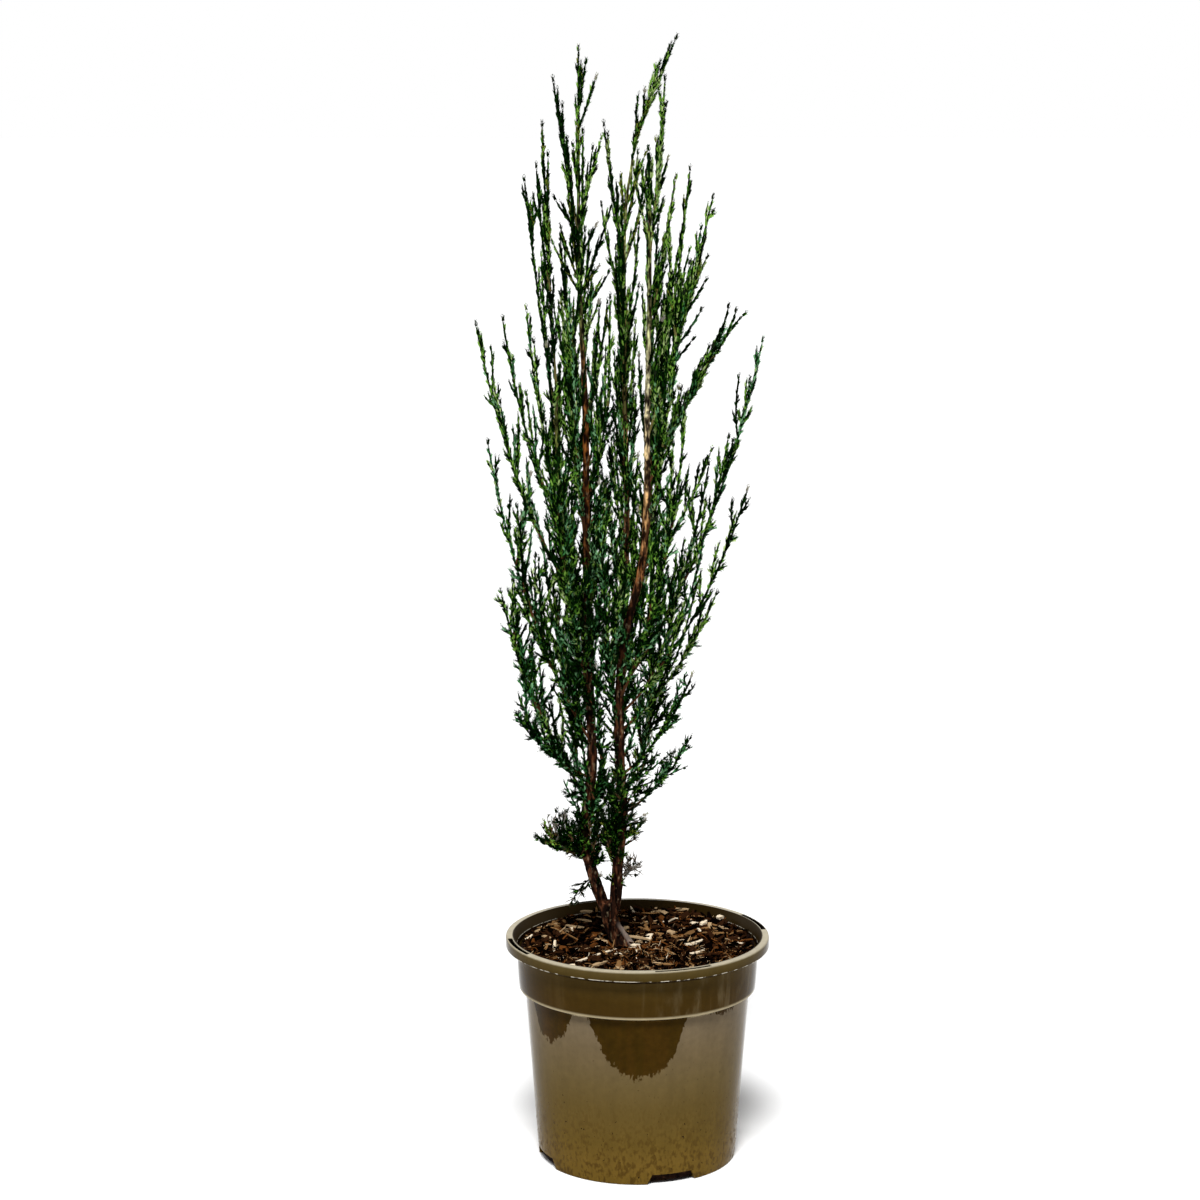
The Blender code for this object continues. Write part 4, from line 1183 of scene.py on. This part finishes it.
class Heap:
    """Meshes joined into one piece, with a colour index for each face."""

    def __init__(self):
        self.verts, self.tris, self.colors, self.count = [], [], [], 0

    def add(self, verts, tris, colors):
        """Each entry of colors is for an equal share of tris, in their order."""
        self.verts.append(verts)
        self.tris.append(tris.reshape(-1, 3) + self.count)
        self.colors.append(np.repeat(colors.ravel(), tris.shape[0] * tris.shape[1] // colors.size))
        self.count += len(verts)

    def piece(self, name, materials, smooth=False):
        verts, tris = np.concatenate(self.verts), np.concatenate(self.tris)
        return triangle_mesh(name, verts, tris, materials, np.concatenate(self.colors), smooth)


def toned(dice, tones, colors, count):
    """Tones for count leaves or stubs on each cord."""
    return tones[colors[:, None], dice.integers(0, tones.shape[1], (len(colors), count))]


def leafy_piece(name, cords, materials):
    dice = seeded(name)
    heap = Heap()
    for dead, group in grouped(cords):
        points = np.stack([cord.line for cord in group])
        count = points.shape[1]
        slim = DEAD_SLIM if dead else 1.0
        colors = np.array([cord.color for cord in group])
        # The core of each live cord is near-black: painted shade in the gaps between its leaves
        shaded_cores = np.where(colors < GREY_DEAD, CORE, colors)
        taper = 1.0 - 0.25 * np.linspace(0, 1, count) ** 3
        radii = slim * CORD_RADII[group[0].level] * taper * np.ones((len(group), 1))
        few = sorted({*range(0, count - 1, 2), count - 1})
        heap.add(*tube_rows(points[:, few], radii[:, few], 3), shaded_cores)
        phases = dice.uniform(0, math.tau, len(group))
        lengths = LEAF_LENGTH * np.append(np.ones(count - 1), LAST_LEAF)
        tones = toned(dice, LEAF_TONES, colors, 2 * count)
        heap.add(*leaf_rows(points, radii, phases, LEAF_STEP, lengths), tones)
        stubs, number = stub_rows(dice, points)
        stub_colors = toned(dice, STUB_TONES, colors, number).ravel()
        radii = slim * np.array(STUB_RADII) * np.ones((len(stubs), 1))
        heap.add(*tube_rows(stubs, radii, 3), stub_colors)
        phases = dice.uniform(0, math.tau, len(stubs))
        lengths = np.full(2, slim * STUB_LEAF)
        heap.add(*leaf_rows(stubs[:, :2], radii[:, :2], phases, LEAF_STEP, lengths), stub_colors)
    return heap.piece(name, materials)


def twig_piece(name, twigs, materials):
    heap = Heap()
    for _, group in grouped(twigs):
        points = np.stack([twig.line for twig in group])
        taper = 1.0 - 0.35 * np.linspace(0, 1, points.shape[1])
        radii = 1.45 * MM * taper * np.ones((len(group), 1))
        heap.add(*tube_rows(points, radii, 5), np.array([twig.color for twig in group]))
    return heap.piece(name, materials, smooth=True)


# Trunk and stems


def bark_relief(spot, swell=1.0):
    """How far the bark stands out at a place: long loose strips that run up the limb."""
    strips = noise.noise(Vector((spot[0] * 430, spot[1] * 430, spot[2] * 70)))
    shreds = noise.noise(Vector((spot[0] * 900, spot[1] * 900, spot[2] * 200)))
    lumps = noise.noise(Vector((spot[0] * 70, spot[1] * 70, spot[2] * 35)))
    return swell * (0.85 * abs(strips) + 0.30 * shreds + 0.45 * lumps - 0.25) * MM


def limb_tube(line, radii, sides, step):
    """Verts and faces of a closed tube along a line, with its radii spread evenly along it."""
    points = resampled(line, step)
    count = len(points)
    radii = np.interp(np.linspace(0, 1, count), np.linspace(0, 1, len(radii)), radii)
    _, u, v = (part[0] for part in sweep_frames(points[None]))
    turns = np.arange(sides) * math.tau / sides
    out = np.cos(turns)[None, :, None] * u[:, None] + np.sin(turns)[None, :, None] * v[:, None]
    verts = (points[:, None] + out * radii[:, None, None]).reshape(-1, 3)
    place = np.arange(count * sides).reshape(count, sides)
    a, b = place[:-1], np.roll(place, -1, axis=1)[:-1]
    c, d = np.roll(place, -1, axis=1)[1:], place[1:]
    faces = np.stack((a, b, c, d), -1).reshape(-1, 4).tolist()
    faces.append(place[0, ::-1].tolist())
    faces.append(place[-1].tolist())
    return verts, out.reshape(-1, 3), radii, faces


def bark_tube(name, line, radii, material, sides=28):
    verts, out, reach, faces = limb_tube(line, radii, sides, 2.2 * MM)
    reach = np.repeat(reach, sides)
    for index, spot in enumerate(verts):
        verts[index] += out[index] * bark_relief(spot, min(1.0, reach[index] / (4.0 * MM)))
    mesh = bpy.data.meshes.new(name)
    mesh.from_pydata(verts.tolist(), [], faces)
    return mesh_piece(name, mesh, material)


def mesh_piece(name, mesh, material):
    mesh.materials.clear()
    mesh.materials.append(material)
    mesh.polygons.foreach_set("use_smooth", np.full(len(mesh.polygons), True))
    mesh.update()
    piece = bpy.data.objects.new(name, mesh)
    bpy.context.scene.collection.objects.link(piece)
    return piece


def fork_piece(name, limbs, material):
    """Limbs that grow into one another: their tubes joined, remeshed, smoothed and given bark."""
    verts, faces = [], []
    for line, radii in limbs:
        own, _, _, own_faces = limb_tube(line, radii, 32, 1.5 * MM)
        faces += [[len(verts) + index for index in face] for face in own_faces]
        verts += own.tolist()
    rough = bpy.data.meshes.new(f"{name}_rough")
    rough.from_pydata(verts, [], faces)
    maker = bpy.data.objects.new(f"{name}_rough", rough)
    bpy.context.scene.collection.objects.link(maker)
    remesh = maker.modifiers.new("join", "REMESH")
    remesh.mode = "VOXEL"
    remesh.voxel_size = 0.75 * MM
    smooth = maker.modifiers.new("blend", "SMOOTH")
    smooth.factor = 0.5
    smooth.iterations = 14
    bpy.context.view_layer.update()
    shaped = maker.evaluated_get(bpy.context.evaluated_depsgraph_get())
    mesh = bpy.data.meshes.new_from_object(shaped)
    mesh.name = name
    bpy.data.objects.remove(maker)
    bpy.data.meshes.remove(rough)
    spots = [vert.co.copy() for vert in mesh.vertices]
    ways = [vert.normal.copy() for vert in mesh.vertices]
    for vert, spot, way in zip(mesh.vertices, spots, ways):
        vert.co = spot + way * bark_relief(spot, 1.15)
    return mesh_piece(name, mesh, material)


# Pot


def filleted(corners, segments=4):
    """An outline of (radius, height, fillet) corners, each rounded with an arc."""
    line = []
    for index, (r, z, fillet) in enumerate(corners):
        corner = Vector((r, z))
        if fillet == 0 or index in (0, len(corners) - 1):
            line.append(corner)
            continue
        before = (Vector(corners[index - 1][:2]) - corner).normalized()
        after = (Vector(corners[index + 1][:2]) - corner).normalized()
        half = before.angle(after) / 2
        back = fillet / math.tan(half)
        center = corner + (before + after).normalized() * fillet / math.sin(half)
        start = corner + before * back - center
        end = corner + after * back - center
        for step in range(segments + 1):
            line.append(center + start.slerp(end, step / segments))
    return line


def notch_warp(offset, height):
    """Moves a column of the wall, so that each notch narrows upward."""
    shares = (height / NOTCH_HEIGHT, (FADE_HEIGHT - height) / (FADE_HEIGHT - NOTCH_HEIGHT))
    share = max(0.0, min(1.0, *shares))
    near = max(0.0, 1.0 - max(0.0, abs(offset) - NOTCH_HALF) / NOTCH_HALF)
    return offset - math.copysign(share * near * NOTCH_LEAN, offset) * min(1.0, abs(offset) / NOTCH_HALF)


def pot_piece(material):
    """The pot turned as one skin, with slots in its rim and notches in its foot."""
    outline = filleted(POT_OUTLINE)
    outline = [Vector((r * MM, z * MM)) for r, z in outline]
    columns = 360
    verts = []
    for column in range(columns):
        offset = (column - SLOT_AZIMUTH + 45) % 90 - 45
        for r, z in outline:
            turn = math.radians(column - offset + notch_warp(offset, z / MM))
            verts.append((r * math.cos(turn), r * math.sin(turn), z))
    count = len(outline)
    faces = []

    def wall(column, path):
        """A strip between this column and the next, along a path of outline indices and points."""
        rows = []
        for turn in (column, (column + 1) % columns):
            row = []
            for stop in path:
                if isinstance(stop, int):
                    row.append(turn * count + stop)
                else:
                    angle = math.radians(turn)
                    verts.append((stop[0] * math.cos(angle), stop[0] * math.sin(angle), stop[1]))
                    row.append(len(verts) - 1)
            rows.append(row)
        for step in range(len(path) - 1):
            faces.append((rows[0][step], rows[1][step], rows[1][step + 1], rows[0][step + 1]))

    def nearest(r, z):
        return min(range(count), key=lambda index: (outline[index] - Vector((r * MM, z * MM))).length)

    slot_outer, slot_inner = nearest(SLOT_OUTER, POT_TOP), nearest(SLOT_INNER, POT_TOP)
    slot = (slot_outer, (SLOT_OUTER * MM, SLOT_FLOOR * MM), (SLOT_INNER * MM, SLOT_FLOOR * MM), slot_inner)
    foot_inner, foot_top = nearest(NOTCH_INNER, 0.0), nearest(POT_FOOT + 0.75, NOTCH_HEIGHT)
    floor_wall, floor_inner = nearest(FLOOR_WALL, NOTCH_HEIGHT), nearest(NOTCH_INNER, POT_FLOOR)
    for column in range(columns):
        offset = (column - SLOT_AZIMUTH + 45) % 90 - 45
        slotted = -SLOT_HALF <= offset < SLOT_HALF
        notched = -NOTCH_HALF <= offset < NOTCH_HALF
        for index in range(count - 1):
            if slotted and slot_outer <= index < slot_inner:
                continue
            if notched and (foot_inner <= index < foot_top or floor_wall <= index < floor_inner):
                continue
            wall(column, (index, index + 1))
        if slotted:
            wall(column, slot)
        if notched:
            wall(column, (foot_inner, floor_inner))
            wall(column, (floor_wall, foot_top)[::-1])
        for edge in (-1, 1):
            if offset == edge * NOTCH_HALF:
                ring = [*range(foot_inner, foot_top + 1), *range(floor_wall, floor_inner + 1)]
                faces.append([column * count + index for index in (ring if edge > 0 else ring[::-1])])
            if offset == edge * SLOT_HALF:
                angle = math.radians(column)
                for r, z in slot[1:3]:
                    verts.append((r * math.cos(angle), r * math.sin(angle), z))
                last = len(verts) - 1
                cap = [column * count + slot_outer, last - 1, last, column * count + slot_inner]
                faces.append(cap if edge > 0 else cap[::-1])
    mesh = bpy.data.meshes.new("pot_shell")
    mesh.from_pydata(verts, [], faces)
    mesh.validate()
    piece = mesh_piece("pot_shell", mesh, material)
    mesh.set_sharp_from_angle(angle=math.radians(38))
    return piece


# Soil and mulch


def soil_height(radius, azimuth):
    """The top of the compost, which lies higher towards the back."""
    spot = Vector((radius * math.cos(azimuth) * 45, radius * math.sin(azimuth) * 45, 3.0))
    share = min(1.0, radius / (SOIL_EDGE * MM))
    slope = share * (SOIL_BACK_RISE * math.sin(azimuth) + SOIL_RIGHT_RISE * math.cos(azimuth))
    slope -= SOIL_DROP * share**2
    return (SOIL_MIDDLE + slope + SOIL_LUMPS * noise.noise(spot)) * MM


def soil_piece(material):
    """Root ball: an uneven top, and plain sides down to the pot's floor."""
    columns, rows = 120, 44
    verts = [(0.0, 0.0, soil_height(0.0, 0.0))]
    for row in range(1, rows + 1):
        radius = SOIL_EDGE * MM * row / rows
        for column in range(columns):
            azimuth = math.tau * column / columns
            height = soil_height(radius, azimuth)
            verts.append((radius * math.cos(azimuth), radius * math.sin(azimuth), height))
    for radius, height in SOIL_SIDE:
        for column in range(columns):
            azimuth = math.tau * column / columns
            verts.append((radius * MM * math.cos(azimuth), radius * MM * math.sin(azimuth), height * MM))
    faces = [(0, 1 + column, 1 + (column + 1) % columns) for column in range(columns)]
    for row in range(rows + len(SOIL_SIDE) - 1):
        for column in range(columns):
            a, b = 1 + row * columns + column, 1 + row * columns + (column + 1) % columns
            faces.append((a, a + columns, b + columns, b))
    last = 1 + (rows + len(SOIL_SIDE) - 1) * columns
    faces.append([last + column for column in range(columns)][::-1])
    mesh = bpy.data.meshes.new("root_ball")
    mesh.from_pydata(verts, [], faces)
    return mesh_piece("root_ball", mesh, material)


def splinters(dice, centers, yaws, sizes, tilt, bent):
    """Bent splinters of wood: rings of four corners at the ends and in the middle."""
    count = len(centers)
    long, wide, thick = sizes.T
    pitch = dice.normal(0, tilt, count)
    roll = dice.normal(0, 1.6 * tilt, count)
    along = np.stack((np.cos(yaws) * np.cos(pitch), np.sin(yaws) * np.cos(pitch), np.sin(pitch)), 1)
    level = np.stack((-np.sin(yaws), np.cos(yaws), np.zeros(count)), 1)
    across = unit(level * np.cos(roll)[:, None] + np.cross(along, level) * np.sin(roll)[:, None])
    up = np.cross(along, across)
    bend = dice.normal(0, bent, (count, 2)) * long[:, None]
    corners = []
    for station, share in ((-1.0, 0.75), (-0.30, 1.0), (0.35, 0.95), (1.0, 0.60)):
        middle = centers + along * (0.5 * station * long)[:, None]
        middle = middle + across * (bend[:, 0] * (1 - station**2))[:, None]
        middle = middle + up * (bend[:, 1] * (1 - station**2))[:, None]
        for side, top in ((-1, -1), (1, -0.7), (0.8, 1), (-0.9, 0.7)):
            uneven = dice.uniform(0.6, 1.25, (count, 2)) * share
            shift = dice.uniform(-0.06, 0.06, count) * long * (abs(station) == 1.0)
            corners.append(
                middle
                + along * shift[:, None]
                + across * (0.5 * side * wide * uneven[:, 0])[:, None]
                + up * (0.5 * top * thick * uneven[:, 1])[:, None]
            )
    verts = np.stack(corners, axis=1).reshape(-1, 3)
    pattern = [(3, 2, 1), (3, 1, 0), (12, 13, 14), (12, 14, 15)]
    for ring in range(0, 12, 4):
        for side in range(4):
            a, b = ring + side, ring + (side + 1) % 4
            pattern += [(a, b, b + 4), (a, b + 4, a + 4)]
    return verts, np.arange(count)[:, None, None] * 16 + np.array(pattern)


def on_top(spots):
    """The height of the compost under each spot."""
    return np.array([soil_height(math.hypot(x, y), math.atan2(y, x)) for x, y in spots[:, :2]])


def on_soil(dice, count, reach=111.0):
    radius = reach * MM * np.sqrt(dice.uniform(0.0, 1.0, count))
    azimuth = dice.uniform(0, math.tau, count)
    spots = np.stack((radius * np.cos(azimuth), radius * np.sin(azimuth), 0.0 * radius), 1)
    spots[:, 2] = on_top(spots)
    return spots


def chips_piece(materials):
    """Mulch: layers of splinters from small and dark to large and pale, and a few that stand out."""
    dice = np.random.default_rng(11)
    heap = Heap()
    for layer in (*MULCH_LAYERS, SHREDS):
        centers = on_soil(dice, layer.count)
        if layer is SHREDS:
            behind = np.maximum(0.0, centers[:, 1] - SHREDS_FRONT * MM)
            centers[:, 1] -= behind * dice.uniform(0.5, 1.6, layer.count)
            centers[:, 2] = on_top(centers)
        centers[:, 2] += dice.uniform(*layer.lift, layer.count) * MM
        long = dice.uniform(*layer.long, layer.count) * MM
        wide = np.clip(long * dice.uniform(*layer.slim, layer.count), *np.array(CHIP_WIDTHS) * MM)
        thick = dice.uniform(*layer.thick, layer.count) * MM
        sizes = np.stack((long, wide, thick), 1)
        room = np.linalg.norm(centers[:, :2], axis=1) + 0.5 * long
        centers[:, :2] *= np.minimum(1.0, 113 * MM / room)[:, None]
        yaws = dice.uniform(0, math.tau, layer.count)
        verts, tris = splinters(dice, centers, yaws, sizes, layer.tilt, 0.15 if layer is SHREDS else 0.045)
        colors = dice.choice(len(CHIP_COLORS), layer.count, p=layer.shares)
        far = np.linalg.norm(centers[:, :2] / MM - PALE_PLACE, axis=1) / PALE_REACH
        # Chips away from the pale place turn dark: painted shade
        shaded = dice.uniform(0, 1, layer.count) < DARK_SHARE * np.minimum(1.0, far)
        colors = np.where(shaded & (colors > BROWN_CHIP), colors % 2, colors)
        heap.add(verts, tris, colors)
    ends = np.array([(chip.start, chip.end) for chip in CHIPS], dtype=float) * MM
    run = ends[:, 1] - ends[:, 0]
    length = np.linalg.norm(run, axis=1)
    centers = np.zeros((len(CHIPS), 3))
    centers[:, :2] = ends.mean(axis=1)
    centers[:, 2] = on_top(centers) + CHIPS_LIFT * MM
    sizes = np.stack((length, [chip.wide * MM for chip in CHIPS], [chip.thick * MM for chip in CHIPS]), 1)
    verts, tris = splinters(dice, centers, np.arctan2(run[:, 1], run[:, 0]), sizes, 0.04, 0.02)
    heap.add(verts, tris, np.array([chip.color for chip in CHIPS]))
    return heap.piece("mulch_chips", materials)


# Stage


def studio_world():
    """White to look at and in reflections, and dimmer as a light, so that the crown has depth."""
    world = bpy.data.worlds.new("studio")
    world.use_nodes = True
    tree = world.node_tree
    tree.nodes.clear()
    path = tree.nodes.new("ShaderNodeLightPath")
    strength = add_node(tree, "ShaderNodeMapRange", To_Min=1.0, To_Max=ROOM_STRENGTH)
    back = add_node(tree, "ShaderNodeBackground", Color=(1.0, 1.0, 1.0, 1.0))
    output = tree.nodes.new("ShaderNodeOutputWorld")
    tree.links.new(path.outputs["Is Diffuse Ray"], strength.inputs["Value"])
    tree.links.new(strength.outputs["Result"], back.inputs["Strength"])
    tree.links.new(back.outputs["Background"], output.inputs["Surface"])
    return world


def aim(made, place, target=(0.0, 0.0, 0.6)):
    made.location = place
    made.rotation_euler = (Vector(target) - Vector(place)).to_track_quat("-Z", "Y").to_euler()
    bpy.context.scene.collection.objects.link(made)


def make_stage():
    scene = bpy.context.scene
    scene.view_settings.view_transform = "Standard"
    floor = triangle_mesh(
        "floor",
        np.array(((-9, -9, 0), (9, -9, 0), (9, 30, 0), (-9, 30, 0))),
        np.array(((0, 1, 2), (0, 2, 3))),
        [plain_material("floor", (0.8, 0.8, 0.8), 0.8)],
    )
    scene.world = studio_world()
    sun = bpy.data.lights.new("sun", "SUN")
    sun.energy = SUN_STRENGTH
    sun.angle = math.radians(SUN_ANGLE)
    aim(bpy.data.objects.new("sun", sun), SUN_FROM, (0.0, 0.0, 0.0))
    for name, place, size, power in STRIPS:
        strip = bpy.data.lights.new(name, "AREA")
        strip.shape = "RECTANGLE"
        strip.size, strip.size_y = size
        strip.energy = power
        aim(bpy.data.objects.new(name, strip), place)
    camera = bpy.data.objects.new("camera", bpy.data.cameras.new("camera"))
    camera.data.lens = CAMERA_LENS
    camera.location = CAMERA_PLACE
    camera.rotation_euler = (math.radians(90 - CAMERA_PITCH), 0, 0)
    scene.collection.objects.link(camera)
    scene.camera = camera


def settle(piece, slot, *nodes):
    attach(piece, "root")
    if nodes:
        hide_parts(*nodes)


def main():
    make_stage()
    leaf_materials = [plain_material(name, color) for name, color in GREENS.items()]
    twig_materials = [plain_material(name, color, 0.8) for name, color in TWIG_COLORS.items()]
    barks = {name: bark_material(f"bark_{name}", bands) for name, bands in BARK_BANDS.items()}
    for stem in STEMS:
        radii = np.array((stem.foot_radius, stem.top_radius)) * MM
        line = STEM_LINES[stem.name]
        if stem.parent is None:
            line = line[int(np.searchsorted(line[:, 2], (FORK_TOP - 12) * MM)) :]
        settle(bark_tube(f"bark_{stem.name}", line, radii, barks[stem.name]), "bark", stem.name)
    trunk = catmull_rom(np.array(TRUNK_LINE) * MM)
    limbs = [(trunk, np.array(TRUNK_WIDTHS) * MM)]
    for stem in STEMS[:2]:
        line = STEM_LINES[stem.name]
        foot = line[: int(np.searchsorted(line[:, 2], FORK_TOP * MM))]
        limbs.append((foot, np.array(FORK_RADII) * MM))
    settle(fork_piece("bark_trunk", limbs, barks["trunk"]), "bark", "trunk")
    spines = make_spines()
    twigs = []
    total = 0
    cords = {mass.name: grow_mass(mass, spines, twigs) for mass in MASSES}
    for whip in WHIPS:
        grow_whip(whip, spines, cords[SPINE_MASSES.get(whip.spine, whip.spine)], twigs)
    for filling in FILLINGS:
        grow_filling(filling, spines, cords, twigs)
    for name, count in RISERS:
        grow_risers(name, count, spines, cords[name], twigs)
    for mass in MASSES:
        piece = leafy_piece(f"leaves_{mass.name}", cords[mass.name], leaf_materials)
        total += len(piece.data.polygons)
        settle(piece, "dead_foliage" if "grey" in mass.name else "foliage", f"mass_{mass.name}")
    boughs = [f"bough_{mass.name}" for mass in MASSES if mass.bough]
    settle(twig_piece("twigs", twigs, twig_materials), "bark", *boughs)
    print("leaf triangles", total)
    chip_materials = [plain_material(name, color, 0.75) for name, color in CHIP_COLORS.items()]
    settle(chips_piece(chip_materials), "compost")
    settle(soil_piece(soil_material()), "compost", "soil")
    settle(pot_piece(pot_material()), "pot_plastic", "pot")


main()
